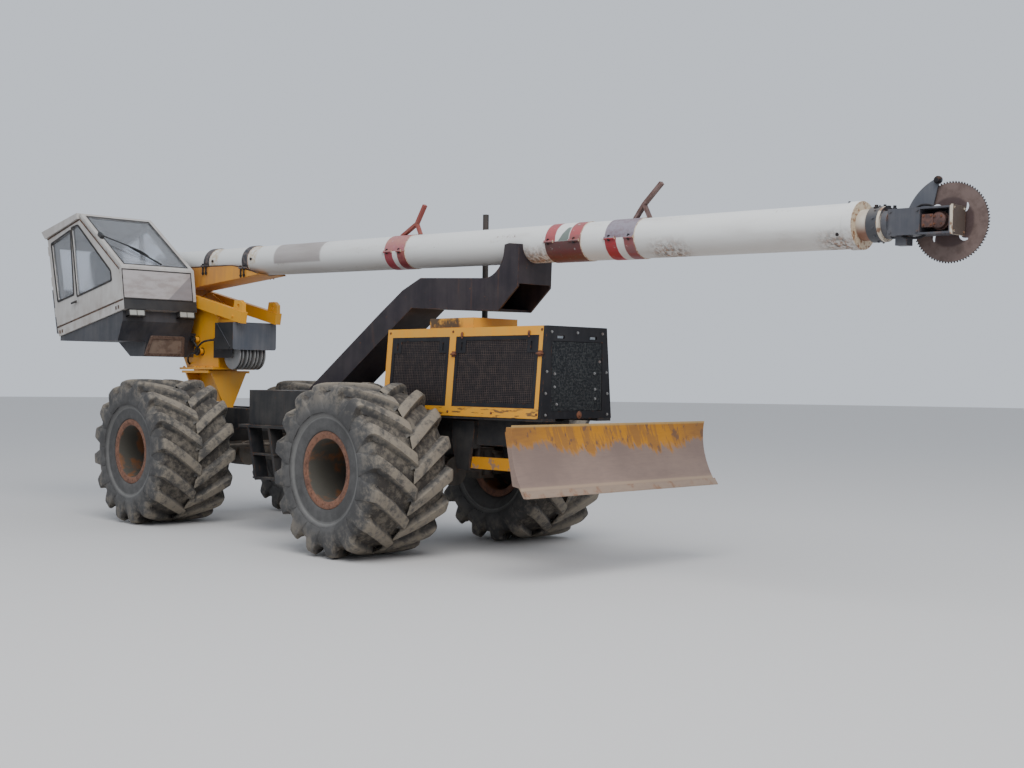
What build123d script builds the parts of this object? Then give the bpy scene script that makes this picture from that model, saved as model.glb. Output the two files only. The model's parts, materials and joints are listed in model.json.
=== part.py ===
from build123d import *
import os
from math import atan2, cos, degrees, hypot, radians, sin, tan

os.makedirs("parts", exist_ok=True)

# Tree trimming machine: a four-wheel-steer carrier with a dozer blade, an engine under a yellow hood,
# and at the rear a turret with a pitched cab and a telescopic boom that ends in a circular saw.
# Millimetres. +X runs forwards to the blade, +Y to the machine's left, +Z up from the ground.
# The origin is on the ground under the middle of the machine's overall length.

# Running gear
front_axle_x = 415
wheelbase = 3810
track = 2160
tyre_od = 1680
tyre_width = 980
tyre_facets = 16  # flats round each tyre and rim
lug_height = 66
lugs_a_side = 16
lug_top = 88
lug_foot = 128
lug_turn = -23  # degrees round the tyre from a bar's shoulder end to its centre end
rim_od = 752
rim_width = 700
rim_wall = 16
kingpin_y = 560
kingpin_d = 60
spindle_d = 120
running_gap = 0.05
axle_beam_h = 180
axle_beam_w = 200
housing_r = 150  # of the differential, level with the beam's top
yoke_reach = 60
yoke_gap = 130
arm_reach = 240
tie_rod_d = 42
tie_pin_d = 30

# Chassis
rail_centre_y = 300
rail_width = 80
rail_bottom = 1090
rail_top = 1340
rail_rear_x = front_axle_x - 4810  # behind the slewing ring
rail_front_x = front_axle_x + 1430
plate = 20
weld_gap = 0.3  # between plates that are welded to each other
seat_gap = 0.3  # between a piece and what it stands on

# Hood and engine
hood_rear_x = front_axle_x - 447
hood_front_x = front_axle_x + 1845
hood_bottom = 1366
hood_top = 2222
hood_half_bottom = 480
hood_half_top = 408
hood_wall = 30
engine_half = 280
door_bottom = 1458
door_top = 2137
door_depth = 22
door_gap = 0.3
door_spans = [(front_axle_x - 366, front_axle_x + 521), (front_axle_x + 614, front_axle_x + 1754)]
grille_thick = 40
exhaust_d = 62
exhaust_x = front_axle_x + 207
exhaust_y = 340
exhaust_top = 3430

# Boom and its line: it drops towards the saw
boom_drop_deg = 1.323
boom_line_z = 3051  # height of the boom's axis over the front axle
boom_od = 356
boom_wall = 10
boom_rear = -5750
boom_front = 4836
inner_od = 240
inner_wall = 12
inner_rear = -3600
inner_front = 4956

# Boom rest over the hood
rest_half = 228
rest_wall = 20
rest_foot = (front_axle_x - 2486, front_axle_x - 1990)  # its rear and front ends on the frame

# Dozer blade
blade_half = 1300
blade_top = (2745, 1340)
blade_edge = (2900, 734)
blade_wall = 20
blade_hollow = 70
blade_pivot = (front_axle_x + 730, 915)
push_arm_y = 335
push_arm_w = 70
blade_cyl_y = 190
blade_cyl_base = (front_axle_x + 620, 1120)
blade_cyl_eye = (2520, 1120)
blade_barrel = 980

# Turret
slew_x = front_axle_x - 4450
flange_z = 1790
flange_thick = 30
ring_d = 540
column_half = 205
column_wall = 25
pivot = (front_axle_x - 5400, 2850)
lift_eye = (front_axle_x - 5100, 2900)
lift_base = (front_axle_x - 4800, 1950)
lift_barrel = 680
pivot_pin_d = 90
lift_pin_d = 60
cradle_half = 198
cradle_wall = 19
arm_width = 80
arm_depth = 140
arm_front = (front_axle_x - 3420, 2430)
lug_hole_d = 50

# Cab, drawn in its own plane: u along its floor to the front, w up from the floor's underside
cab_corner = (front_axle_x - 4491, 2503)
cab_pitch_deg = 10
cab_right = -1300
cab_left = -310
cab_wall = 35
glass_thick = 6
glass_gap = 0.3
cab_side = [(-1700, 130), (-1806, 1330), (-846, 1368), (62, 513), (62, 130)]
floor_top = 129.7
door_clearance = 5
hinge_in = 12  # the hinge pin's distance in from the door's face
hinge_back = 14  # and behind its rear edge
hinge_pin_d = 12
hinge_ups = (200, 620, 1040)

# Saw head
saw_od = 610
saw_plane_y = 120
saw_centre = 5489
saw_thick = 6
saw_bore_d = 50
head_half = 95

axle_z = tyre_od / 2
rear_axle_x = front_axle_x - wheelbase
tyre_y = track / 2


def box_between(x, y, z, mode=Mode.ADD):
    """A block between the low and high ends of x, y and z."""
    with Locations(((x[0] + x[1]) / 2, (y[0] + y[1]) / 2, (z[0] + z[1]) / 2)):
        Box(x[1] - x[0], y[1] - y[0], z[1] - z[0], mode=mode)


def side_plate(points, y, mode=Mode.ADD):
    """A plate whose outline is drawn in XZ, between the two values of y."""
    with BuildSketch(Plane.XZ.offset(-y[1])) as outline:
        with BuildLine():
            Polyline(*points, close=True)
        make_face()
    extrude(outline.sketch, amount=y[1] - y[0], mode=mode)


def cross_rod(x, z, y, diameter, flats=0, mode=Mode.ADD):
    """A rod along Y at x and z, round or with flats."""
    with BuildSketch(Plane.XZ.offset(-y[1])) as section:
        with Locations((x, z)):
            if flats:
                RegularPolygon(diameter / 2, flats)
            else:
                Circle(diameter / 2)
    extrude(section.sketch, amount=y[1] - y[0], mode=mode)


def upright(x, y, z, diameter, flats=0, mode=Mode.ADD):
    """A post along Z at x and y, round or with flats."""
    with BuildSketch(Plane.XY.offset(z[0])) as section:
        with Locations((x, y)):
            if flats:
                RegularPolygon(diameter / 2, flats)
            else:
                Circle(diameter / 2)
    extrude(section.sketch, amount=z[1] - z[0], mode=mode)


def strip(points, width):
    """The outline of a flat bar of this width whose middle runs through the points."""
    left, right = [], []
    for index, point in enumerate(points):
        before, after = points[max(index - 1, 0)], points[min(index + 1, len(points) - 1)]
        run = Vector(after[0] - before[0], after[1] - before[1]).normalized() * width / 2
        left.append((point[0] - run.Y, point[1] + run.X))
        right.insert(0, (point[0] + run.Y, point[1] - run.X))
    return left + right


def finish(builder, name):
    """Names the finished piece and writes it."""
    builder.part.label = name
    export_step(builder.part, f"parts/{name}.step")


# Boom line: a point on its axis at the distance x ahead of the front axle, and planes there
boom_tilt = radians(boom_drop_deg)
boom_axis = Vector(cos(boom_tilt), 0, -sin(boom_tilt))


def boom_point(x):
    return Vector(front_axle_x + x, 0, boom_line_z - x * tan(boom_tilt))


def boom_section(x):
    """A plane across the boom: its x is the machine's +Y, its y is up, its normal points forwards."""
    return Plane(origin=boom_point(x), x_dir=(0, 1, 0), z_dir=boom_axis)


def boom_side(y, x=0):
    """A plane along the boom at y: its x runs forwards on the boom's line, its y is up."""
    return Plane(origin=boom_point(x) + Vector(0, y, 0), x_dir=boom_axis, z_dir=(0, -1, 0))


def tube_along_boom(x0, x1, outer, inner=None, mode=Mode.ADD):
    length = (x1 - x0) / cos(boom_tilt)
    with BuildSketch(boom_section(x0)) as section:
        Circle(outer / 2)
        if inner:
            Circle(inner / 2, mode=Mode.SUBTRACT)
    extrude(section.sketch, amount=length, mode=mode)


# Chassis frame: two rails, cross members, axle saddles, brackets for the blade's arms and cylinders
inside = rail_centre_y - rail_width / 2
outside = rail_centre_y + rail_width / 2
between = (weld_gap - inside, inside - weld_gap)
arm_room = (push_arm_y - push_arm_w / 2 - 2, push_arm_y + push_arm_w / 2 + 2)
cross_members = [(rail_rear_x + 60, rail_bottom), (slew_x - 300, rail_bottom), (slew_x + 300, rail_bottom),
                 (-1400, rail_bottom), (-200, rail_bottom), (rail_front_x - 60, rail_bottom + 150)]
with BuildPart() as chassis_frame:
    for side in (-1, 1):
        y_bracket = sorted((side * (arm_room[0] - plate), side * (arm_room[1] + plate)))
        side_plate([(blade_pivot[0] - 190, rail_bottom + 20), (blade_pivot[0] - 120, 840),
                    (blade_pivot[0] + 60, 840), (blade_pivot[0] + 130, rail_top - 120),
                    (blade_pivot[0] + 130, rail_top - 20), (blade_pivot[0] - 190, rail_top - 20)], y_bracket)
        bracket_x = (blade_pivot[0] - 200, blade_pivot[0] + 140)
        box_between(bracket_x, sorted((side * arm_room[0], side * arm_room[1])), (830, rail_bottom - 40),
                    mode=Mode.SUBTRACT)
        box_between(bracket_x, sorted((side * 200, side * (outside + weld_gap))),
                    (rail_bottom - weld_gap, rail_top + 10), mode=Mode.SUBTRACT)
        cross_rod(*blade_pivot, y_bracket, 50)
    for side in (-1, 1):
        y_rail = sorted((side * inside, side * outside))
        box_between((rail_rear_x, rail_front_x), y_rail, (rail_bottom, rail_top))
        y_tray = sorted((side * (engine_half + 10), side * (hood_half_bottom - 8)))
        box_between((hood_rear_x, hood_front_x), y_tray, (rail_top + weld_gap, hood_bottom - seat_gap))
    for x, low in cross_members:
        box_between((x - 60, x + 60), between, (low, rail_top - 10))
    box_between((rest_foot[0] - 60, rest_foot[1] + 60), between, (rail_top - 30, rail_top - seat_gap))
    cross_rod(*blade_cyl_base, between, 40)
    for x in (front_axle_x, rear_axle_x):
        side_plate([(x - 160, rail_bottom - weld_gap), (x - 90, axle_z + axle_beam_h / 2 + weld_gap),
                    (x + 90, axle_z + axle_beam_h / 2 + weld_gap), (x + 160, rail_bottom - weld_gap)],
                   (-outside, outside))
finish(chassis_frame, "chassis_frame")

# Axles, one piece each: a beam with a fork at each end for the kingpin
for axle_name, axle_x in (("front_axle", front_axle_x), ("rear_axle", rear_axle_x)):
    with BuildPart() as axle:
        fork_in = kingpin_y - 130
        box_between((axle_x - axle_beam_w / 2, axle_x + axle_beam_w / 2), (-fork_in, fork_in),
                    (axle_z - axle_beam_h / 2, axle_z + axle_beam_h / 2))
        with BuildSketch(Plane.YZ.offset(axle_x - axle_beam_w / 2 - 60)):
            with Locations((0, axle_z + axle_beam_h / 2 - housing_r)):
                RegularPolygon(housing_r, 16)
        extrude(amount=axle_beam_w + 120)
        for side in (-1, 1):
            y_fork = sorted((side * (fork_in - 40), side * (kingpin_y + yoke_reach)))
            y_back = sorted((side * (fork_in - 40), side * fork_in))
            box_between((axle_x - 90, axle_x + 90), y_back, (axle_z - yoke_gap - 30, axle_z + yoke_gap + 30))
            for low in (axle_z + yoke_gap, axle_z - yoke_gap - 30):
                box_between((axle_x - 70, axle_x + 70), y_fork, (low, low + 30))
            upright(axle_x, side * kingpin_y, (axle_z - yoke_gap - 30, axle_z + yoke_gap + 30),
                    kingpin_d, mode=Mode.SUBTRACT)
    finish(axle, axle_name)

# Knuckles: a body between the fork's cheeks, its kingpin, the spindle and the steering arm
knuckles = [("front_right_knuckle", front_axle_x, -1, -1), ("front_left_knuckle", front_axle_x, 1, -1),
            ("rear_right_knuckle", rear_axle_x, -1, 1), ("rear_left_knuckle", rear_axle_x, 1, 1)]
hub_face_y = tyre_y - 60  # where the wheel's dish is bolted
for name, axle_x, side, back in knuckles:
    with BuildPart() as knuckle:
        upright(axle_x, side * kingpin_y, (axle_z - yoke_gap + 1, axle_z + yoke_gap - 1), 150, 16)
        upright(axle_x, side * kingpin_y, (axle_z - yoke_gap - 30, axle_z + yoke_gap + 30),
                kingpin_d - 2 * running_gap)
        cross_rod(axle_x, axle_z, sorted((side * kingpin_y, side * (hub_face_y + 60))), spindle_d)
        cross_rod(axle_x, axle_z, sorted((side * (kingpin_y + 40), side * (hub_face_y - 150))), 260, 16)
        arm_x = axle_x + back * arm_reach
        y_arm = sorted((side * (kingpin_y - 30), side * (kingpin_y + 30)))
        box_between(sorted((axle_x, arm_x)), y_arm, (axle_z - 20, axle_z + 20))
        upright(arm_x, side * kingpin_y, (axle_z - 20, axle_z + 20), 60, 12)
        upright(arm_x, side * kingpin_y, (axle_z + 20, axle_z + 75), tie_pin_d)
    finish(knuckle, name)

# Tie rods lie on the arms and keep the knuckles parallel
for name, axle_x, back in (("front_tie_rod", front_axle_x, -1), ("rear_tie_rod", rear_axle_x, 1)):
    with BuildPart() as tie_rod:
        rod_x = axle_x + back * arm_reach
        rod_z = axle_z + 46
        cross_rod(rod_x, rod_z, (-kingpin_y, kingpin_y), tie_rod_d, 12)
        for side in (-1, 1):
            upright(rod_x, side * kingpin_y, (rod_z - 25, rod_z + 25), 68, 12)
        for side, clearance in ((-1, running_gap), (1, 1.5)):
            upright(rod_x, side * kingpin_y, (rod_z - 25, rod_z + 25), tie_pin_d + 2 * clearance,
                    mode=Mode.SUBTRACT)
    finish(tie_rod, name)

# Wheels: a deep-dished rim and a wide forestry tyre with staggered bars, both drawn with flats
bead_y = rim_width / 2 - rim_wall - 2
bead_r = rim_od / 2 + 4
bead_seat = rim_od / 2 - 24
half_w = tyre_width / 2
carcass_r = tyre_od / 2 - lug_height
bulge_r = rim_od / 2 + 0.53 * (carcass_r - rim_od / 2)  # where the tyre is widest
shoulder_w = 50
air_half = bead_y - 42
rim_bore = rim_od / 2 - 50


def tread_point(turn, y):
    return Vector(cos(radians(turn)), 0, sin(radians(turn))) * tyre_od / 2 + Vector(0, y, 0)


def narrow(end, edges, change, depth):
    """Bevels edges of an end face: the radius changes by this much over the depth, by flat faces."""
    chamfer(edges, length=change * cos(radians(180 / tyre_facets)), length2=depth, reference=end)


with BuildPart() as side_hollows:  # what the tyre's sides leave out, from the widest ring in to the beads
    for side in (-1, 1):
        cross_rod(0, 0, sorted((side * bead_y, side * (half_w + 1))), 2 * bulge_r, tyre_facets)
    for end in side_hollows.faces().filter_by(Axis.Y).sort_by(Axis.Y)[1:3]:
        narrow(end, end.edges(), bulge_r - bead_r, half_w - bead_y)

with BuildPart() as tyre_shape:
    cross_rod(0, 0, (-half_w, half_w), 2 * carcass_r, tyre_facets)
    for end in tyre_shape.faces().filter_by(Axis.Y):
        narrow(end, end.edges(), carcass_r - bulge_r, shoulder_w)
    add(side_hollows.part, mode=Mode.SUBTRACT)
    cross_rod(0, 0, (-bead_y - 1, bead_y + 1), 2 * bead_seat, tyre_facets, mode=Mode.SUBTRACT)
    cross_rod(0, 0, (-air_half, air_half), 2 * (carcass_r - 50), tyre_facets, mode=Mode.SUBTRACT)
    bars = []
    for side, stagger in ((-1, 180 / lugs_a_side), (1, 0)):
        shoulder_end = tread_point(0, side * (half_w - shoulder_w))
        centre_end = tread_point(lug_turn, side * -28)
        middle, span = (shoulder_end + centre_end) / 2, centre_end - shoulder_end
        outwards = Vector(middle.X, 0, middle.Z).normalized()
        run = span.normalized()
        across = outwards.cross(run).normalized()
        around = Vector(0, 1, 0).cross(outwards)
        reach = abs(span.dot(around)) / 2 + abs(across.dot(around)) * lug_top / 2
        crest = (tyre_od ** 2 / 4 - reach ** 2) ** 0.5
        depth = crest - carcass_r * cos(radians(180 / tyre_facets)) + 8
        at = Vector(0, middle.Y, 0) + outwards * crest
        lowest = degrees(atan2(outwards.Z, outwards.X) + atan2(reach, crest)) + 90
        with BuildSketch(Plane(origin=at - span / 2, x_dir=across, z_dir=run)) as bar_section:
            with BuildLine():
                Polyline((-lug_top / 2, 0), (lug_top / 2, 0), (lug_foot / 2, -depth),
                         (-lug_foot / 2, -depth), close=True)
            make_face()
        bar = extrude(bar_section.sketch, amount=span.length, mode=Mode.PRIVATE)
        turns = [lowest + stagger + index * 360 / lugs_a_side for index in range(lugs_a_side)]
        bars += [bar.rotate(Axis.Y, turn) for turn in turns]
    add(bars)

with BuildPart() as rim_shape:
    bed_half = rim_width / 2 - rim_wall
    cross_rod(0, 0, (-bed_half, bed_half), 2 * (bead_seat - seat_gap), tyre_facets)
    for side in (-1, 1):
        y_flange = sorted((side * bed_half, side * rim_width / 2))
        cross_rod(0, 0, y_flange, rim_od, tyre_facets)
    cross_rod(0, 0, (-rim_width / 2 - 1, rim_width / 2 + 1), 2 * rim_bore, tyre_facets, mode=Mode.SUBTRACT)
    for end in (rim_shape.faces().sort_by(Axis.Y)[0], rim_shape.faces().sort_by(Axis.Y)[-1]):
        narrow(end, end.inner_wires()[0].edges(), 16, 40)

wheels = [("front_right", front_axle_x, -1), ("front_left", front_axle_x, 1),
          ("rear_right", rear_axle_x, -1), ("rear_left", rear_axle_x, 1)]
for name, axle_x, side in wheels:
    dish_y = side * (hub_face_y + 34)
    with BuildPart() as rim:
        with Locations((axle_x, side * tyre_y, axle_z)):
            add(rim_shape.part)
        cross_rod(axle_x, axle_z, sorted((dish_y, dish_y - side * 25)), rim_od - 96, tyre_facets)
        cross_rod(axle_x, axle_z, sorted((dish_y, dish_y + side * 70)), 300, tyre_facets)
        cross_rod(axle_x, axle_z, sorted((dish_y + side * 70, dish_y + side * 100)), 190, tyre_facets)
        cross_rod(axle_x, axle_z, sorted((side * (hub_face_y - 60), side * (hub_face_y + 62))),
                  spindle_d + 2 * running_gap, mode=Mode.SUBTRACT)
    finish(rim, f"{name}_rim")
    with BuildPart() as tyre:
        with Locations((axle_x, side * tyre_y, axle_z)):
            add(tyre_shape.part)
    finish(tyre, f"{name}_tyre")

# Hood: a yellow frame with sides that lean inwards, open for the mesh doors and the front cover
hood_outline = [(-hood_half_bottom, hood_bottom), (hood_half_bottom, hood_bottom),
                (hood_half_top, hood_top), (-hood_half_top, hood_top)]
lean = (hood_half_bottom - hood_half_top) / (hood_top - hood_bottom)


def wall_y(z):
    """The hood side's outer face at the height z."""
    return hood_half_bottom - (z - hood_bottom) * lean


with BuildPart() as hood_frame:
    with BuildSketch(Plane.YZ.offset(hood_rear_x)):
        with BuildLine():
            Polyline(*hood_outline, close=True)
        make_face()
    extrude(amount=hood_front_x - grille_thick - 0.5 - hood_rear_x)
    with BuildSketch(Plane.YZ.offset(hood_rear_x + hood_wall)):
        with BuildLine():
            Polyline((-hood_half_bottom + hood_wall, hood_bottom),
                     (hood_half_bottom - hood_wall, hood_bottom),
                     (hood_half_top - hood_wall, hood_top - hood_wall),
                     (-hood_half_top + hood_wall, hood_top - hood_wall), close=True)
        make_face()
    extrude(amount=hood_front_x - hood_rear_x, mode=Mode.SUBTRACT)
    for start, end in door_spans:
        box_between((start, end), (-600, 600), (door_bottom, door_top),
                    mode=Mode.SUBTRACT)
    box_between((hood_rear_x + 530, hood_rear_x + 1180), (-300, 300), (hood_top, hood_top + 105))
finish(hood_frame, "hood_frame")


def lean_prism(x, z, out, back, side, mode=Mode.ADD):
    """A block that follows the leaning wall between x and z, from `out` inside its face to `back`."""
    with BuildSketch(Plane.YZ.offset(x[0])) as section:
        with BuildLine():
            Polyline((side * (wall_y(z[0]) - out), z[0]), (side * (wall_y(z[1]) - out), z[1]),
                     (side * (wall_y(z[1]) - back), z[1]), (side * (wall_y(z[0]) - back), z[0]), close=True)
        make_face()
    extrude(section.sketch, amount=x[1] - x[0], mode=mode)


# Side doors: a frame round a sunk mesh panel, with a slotted plate in each top corner
door_rim = 42
door_sink = 9
corner_plate = (105, 120)
with BuildPart() as hood_mesh_doors:
    for start, end in door_spans:
        low, high = door_bottom + door_gap, door_top - door_gap
        x_in = (start + door_gap + door_rim, end - door_gap - door_rim)
        z_in = (low + door_rim, high - door_rim - corner_plate[1])
        sunk = (-1, door_sink)
        for side in (-1, 1):
            lean_prism((start + door_gap, end - door_gap), (low, high), 0, door_depth, side)
            lean_prism(x_in, z_in, *sunk, side, mode=Mode.SUBTRACT)
            lean_prism((x_in[0] + corner_plate[0], x_in[1] - corner_plate[0]),
                       (z_in[1] - 1, high - door_rim), *sunk, side, mode=Mode.SUBTRACT)
            for x in (x_in[0] + 38, x_in[1] - 60):
                lean_prism((x, x + 22), (z_in[1] + 25, high - door_rim - 15), *sunk, side,
                           mode=Mode.SUBTRACT)
finish(hood_mesh_doors, "hood_mesh_doors")

# Front cover: a frame round a sunk perforated plate, with two slots above it
cover_rim = 62
holes = (6, 7)  # across and up
with BuildPart() as radiator_cover:
    with BuildSketch(Plane.YZ.offset(hood_front_x - grille_thick)):
        with BuildLine():
            Polyline(*hood_outline, close=True)
        make_face()
    extrude(amount=grille_thick)
    cover_half = hood_half_top - cover_rim
    cover_low, cover_high = hood_bottom + 70, hood_top - 70
    box_between((hood_front_x - 10, hood_front_x + 1), (-cover_half, cover_half),
                (cover_low, cover_high - 70), mode=Mode.SUBTRACT)
    for y in (-220, 220):
        box_between((hood_front_x - grille_thick - 1, hood_front_x + 1), (y - 50, y + 50),
                    (cover_high - 45, cover_high - 18), mode=Mode.SUBTRACT)
    with BuildSketch(Plane.YZ.offset(hood_front_x - grille_thick - 1)):
        with Locations((0, (cover_low + cover_high - 70) / 2)):
            pitch = (2 * (cover_half - 20) / holes[0], (cover_high - 110 - cover_low) / holes[1])
            with GridLocations(*pitch, *holes):
                Rectangle(66, 44)
    extrude(amount=grille_thick + 2, mode=Mode.SUBTRACT)
finish(radiator_cover, "radiator_cover")

with BuildPart() as engine_block:
    box_between((hood_rear_x + 350, hood_front_x - 500), (-engine_half, engine_half),
                (rail_top + seat_gap, hood_top - 160))
finish(engine_block, "engine_block")

with BuildPart() as exhaust_stack:
    upright(exhaust_x, exhaust_y, (hood_top, exhaust_top), exhaust_d)
    upright(exhaust_x, exhaust_y, (hood_top + 40, exhaust_top + 1), exhaust_d - 6, mode=Mode.SUBTRACT)
finish(exhaust_stack, "exhaust_stack")

# Boom rest: a box arm that rises from the frame over the hood and ends in a forked cradle for the boom
rest_x = front_axle_x
horn_low, horn_mid, horn_high = (rest_x + 780, 2712), (rest_x + 985, 2780), (rest_x + 1078, 2975)
with BuildPart() as boom_rest:
    with BuildSketch(Plane.XZ.offset(-rest_half)) as rest_side:
        with BuildLine():
            Polyline(horn_low, (rest_x - 160, 2757), (rest_x - 450, 2640), (rest_x - 830, 2405),
                     (rest_x - 2100, 1590), (rest_foot[0], rail_top), (rest_foot[1], rail_top),
                     (rest_x - 300, 2452), (rest_x + 1000, 2384), (rest_x + 1270, 2612),
                     (rest_x + 1285, 3015), (rest_x + 1150, 3030), (rest_x + 1085, 3020), horn_high)
            ThreePointArc(horn_high, horn_mid, horn_low)
        make_face()
    extrude(rest_side.sketch, amount=2 * rest_half)
    hollow = [(rest_foot[0] + 45, rail_top - 1), (rest_x - 2100 + 20, 1572), (rest_x - 830, 2380),
              (rest_x - 450, 2616), (rest_x - 160, 2734), (rest_x + 780, 2688), (rest_x + 1249, 2688),
              (rest_x + 1249, 2640), (rest_x + 1275, 2640), (rest_x + 1275, 2600), (rest_x + 992, 2360),
              (rest_x + 985, 2408), (rest_x - 292, 2474), (rest_foot[1] - 34, rail_top - 1)]
    side_plate(hollow, (-rest_half + rest_wall, rest_half - rest_wall), mode=Mode.SUBTRACT)
    side_plate([(rest_x + 700, 3200), (rest_x + 700, 2725), (rest_x + 1249, 2712), (rest_x + 1249, 3200)],
               (-rest_half + rest_wall, rest_half - rest_wall), mode=Mode.SUBTRACT)
    tube_along_boom(700, 1400, boom_od + 2 * seat_gap, mode=Mode.SUBTRACT)
    with BuildSketch(boom_section(700)) as boom_room:
        with Locations((0, boom_od / 2)):
            Rectangle(boom_od + 2 * seat_gap, boom_od)
    extrude(boom_room.sketch, amount=700, mode=Mode.SUBTRACT)
finish(boom_rest, "boom_rest")

# Tanks on both sides of the frame, and the boarding steps below the right one
tank_x = (front_axle_x - 2350, front_axle_x - 1180)
tank_floor = 1190
with BuildPart() as side_tanks:
    for side in (-1, 1):
        box_between(tank_x, sorted((side * 360, side * 850)), (tank_floor, 1575))
finish(side_tanks, "side_tanks")

with BuildPart() as side_platforms:
    for side in (-1, 1):
        y_deck = sorted((side * (rail_centre_y + rail_width / 2), side * 900))
        box_between((tank_x[0] - 140, tank_x[1] + 40), y_deck, (tank_floor - 30, tank_floor))
finish(side_platforms, "side_platforms")

step_y = (-890, -730)
with BuildPart() as boarding_steps:
    for x in (tank_x[0] + 20, tank_x[0] + 420):
        side_plate([(x, tank_floor - 30), (x + 40, tank_floor - 30), (x + 190, 600), (x + 150, 600)], step_y)
    for z, shift in ((880, 95), (620, 150)):
        box_between((tank_x[0] + 20 + shift - 30, tank_x[0] + 460 + shift), step_y, (z - 20, z))
finish(boarding_steps, "boarding_steps")

# Turret stand: two tapered plates on the frame carry the flange under the slewing ring
with BuildPart() as turret_stand:
    for x in (slew_x - 300, slew_x + 300):
        with BuildSketch(Plane.YZ.offset(x - 15)):
            with BuildLine():
                Polyline((-250, flange_z - flange_thick), (250, flange_z - flange_thick),
                         (60, rail_top - 10), (-60, rail_top - 10), close=True)
            make_face()
        extrude(amount=30)
    box_between((slew_x - 285, slew_x + 285), (-60, 60), (rail_top + 60, flange_z - flange_thick))
    box_between((slew_x - 315, slew_x + 315), (-300, 300), (flange_z - flange_thick, flange_z))
finish(turret_stand, "turret_stand")

# Turret column: ring, base plate, two side plates, the sloping beams with their lugs, and the pins
arm_inner = column_half + weld_gap
arm_run = hypot(pivot[0] - arm_front[0], pivot[1] - arm_front[1])
run_x, run_z = (pivot[0] - arm_front[0]) / arm_run, (pivot[1] - arm_front[1]) / arm_run
half = arm_depth / 2
column_foot = flange_z + 40
column_outline = [(slew_x - 350, column_foot + weld_gap), (slew_x + 400, column_foot + weld_gap),
                  (slew_x + 380, 2440), (slew_x + 330, 2480), (slew_x - 400, 2790),
                  (pivot[0] + 185, 2690), (pivot[0] + 120, 2520)]
with BuildPart() as turret_column:
    upright(slew_x, 0, (flange_z + seat_gap, column_foot), ring_d)
    box_between((slew_x - 375, slew_x + 420), (-column_half - 95, column_half + 95),
                (flange_z + 15, column_foot))
    for side in (-1, 1):
        side_plate(column_outline, sorted((side * (column_half - column_wall), side * column_half)))
        y_arm = sorted((side * arm_inner, side * (arm_inner + arm_width)))
        side_plate([(arm_front[0] - run_z * half, arm_front[1] + run_x * half),
                    (arm_front[0] + run_z * half, arm_front[1] - run_x * half),
                    (pivot[0] + run_z * half, pivot[1] - run_x * half),
                    (pivot[0] - run_z * half, pivot[1] + run_x * half)], y_arm)
        cross_rod(*pivot, y_arm, 260)
        y_lug = sorted((side * (arm_inner + 15), side * (arm_inner + 65)))
        side_plate([(front_axle_x - 3640, 2480), (front_axle_x - 3420, 2440), (front_axle_x - 3420, 2600),
                    (front_axle_x - 3480, 2645), (front_axle_x - 3600, 2645)], y_lug)
        cross_rod(front_axle_x - 3514, 2575, y_lug, lug_hole_d, mode=Mode.SUBTRACT)
        cross_rod(*pivot, y_arm, pivot_pin_d + 2 * weld_gap, mode=Mode.SUBTRACT)
    inner_y = column_half - column_wall - weld_gap
    box_between((slew_x + 340, slew_x + 360), (-inner_y, inner_y), (column_foot + weld_gap, 2430))
    for x, z in ((slew_x + 20, 2030), (slew_x - 80, 2180)):
        cross_rod(x, z, (-column_half - 60, -column_half - weld_gap), 76, 12)
    cross_rod(*pivot, (-arm_inner - arm_width - 12, arm_inner + arm_width + 12), pivot_pin_d)
    cross_rod(*lift_base, (-inner_y, inner_y), lift_pin_d)
finish(turret_column, "turret_column")

# Cylinders: the lift cylinder stands between the turret's base and the boom's cradle
def cylinder_pair(base, eye, y, bore_d, rod_d, pin_d, eye_w, barrel_len, names):
    """Writes a barrel with its base eye and a rod with its own: the rod runs in the barrel."""
    length = hypot(eye[0] - base[0], eye[1] - base[1])
    along = Vector((eye[0] - base[0]) / length, 0, (eye[1] - base[1]) / length)
    eye_d = pin_d * 1.9
    base_at = Vector(base[0], y, base[1])
    y_eye = (y - eye_w / 2, y + eye_w / 2)
    with BuildPart() as barrel:
        with BuildSketch(Plane(origin=base_at + along * (eye_d / 2 - 8), x_dir=(0, 1, 0), z_dir=along)):
            Circle(bore_d / 2)
        extrude(amount=barrel_len)
        cross_rod(*base, y_eye, eye_d)
        with BuildSketch(Plane(origin=base_at + along * (eye_d / 2 + 20), x_dir=(0, 1, 0), z_dir=along)):
            Circle(rod_d / 2 + running_gap)
        extrude(amount=length, mode=Mode.SUBTRACT)
        cross_rod(*base, y_eye, pin_d + 2 * running_gap, mode=Mode.SUBTRACT)
    finish(barrel, names[0])
    with BuildPart() as rod:
        with BuildSketch(Plane(origin=base_at + along * (eye_d / 2 + 40), x_dir=(0, 1, 0), z_dir=along)):
            Circle(rod_d / 2)
        extrude(amount=length - eye_d - 32)
        cross_rod(*eye, y_eye, eye_d)
    finish(rod, names[1])


cylinder_pair(lift_base, lift_eye, 0, 130, 75, lift_pin_d, 90, lift_barrel,
              ("lift_cylinder_barrel", "lift_cylinder_rod"))
for side, name in ((-1, "right"), (1, "left")):
    cylinder_pair(blade_cyl_base, blade_cyl_eye, side * blade_cyl_y, 90, 45, 40, 50, blade_barrel,
                  (f"{name}_blade_cylinder_barrel", f"{name}_blade_cylinder_rod"))

# Hose drums under their guard, in front of the column
drum_centre = (front_axle_x - 3775, 1990)
drum_d = 370
with BuildPart() as hose_drums:
    cross_rod(*drum_centre, (-column_half, column_half), 50)
    for y in (-156, -52, 52, 156):
        cross_rod(*drum_centre, (y - 28, y - 16), drum_d, 16)
        cross_rod(*drum_centre, (y - 16, y + 16), drum_d - 90, 12)
        cross_rod(*drum_centre, (y + 16, y + 28), drum_d, 16)
finish(hose_drums, "hose_drums")

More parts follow.
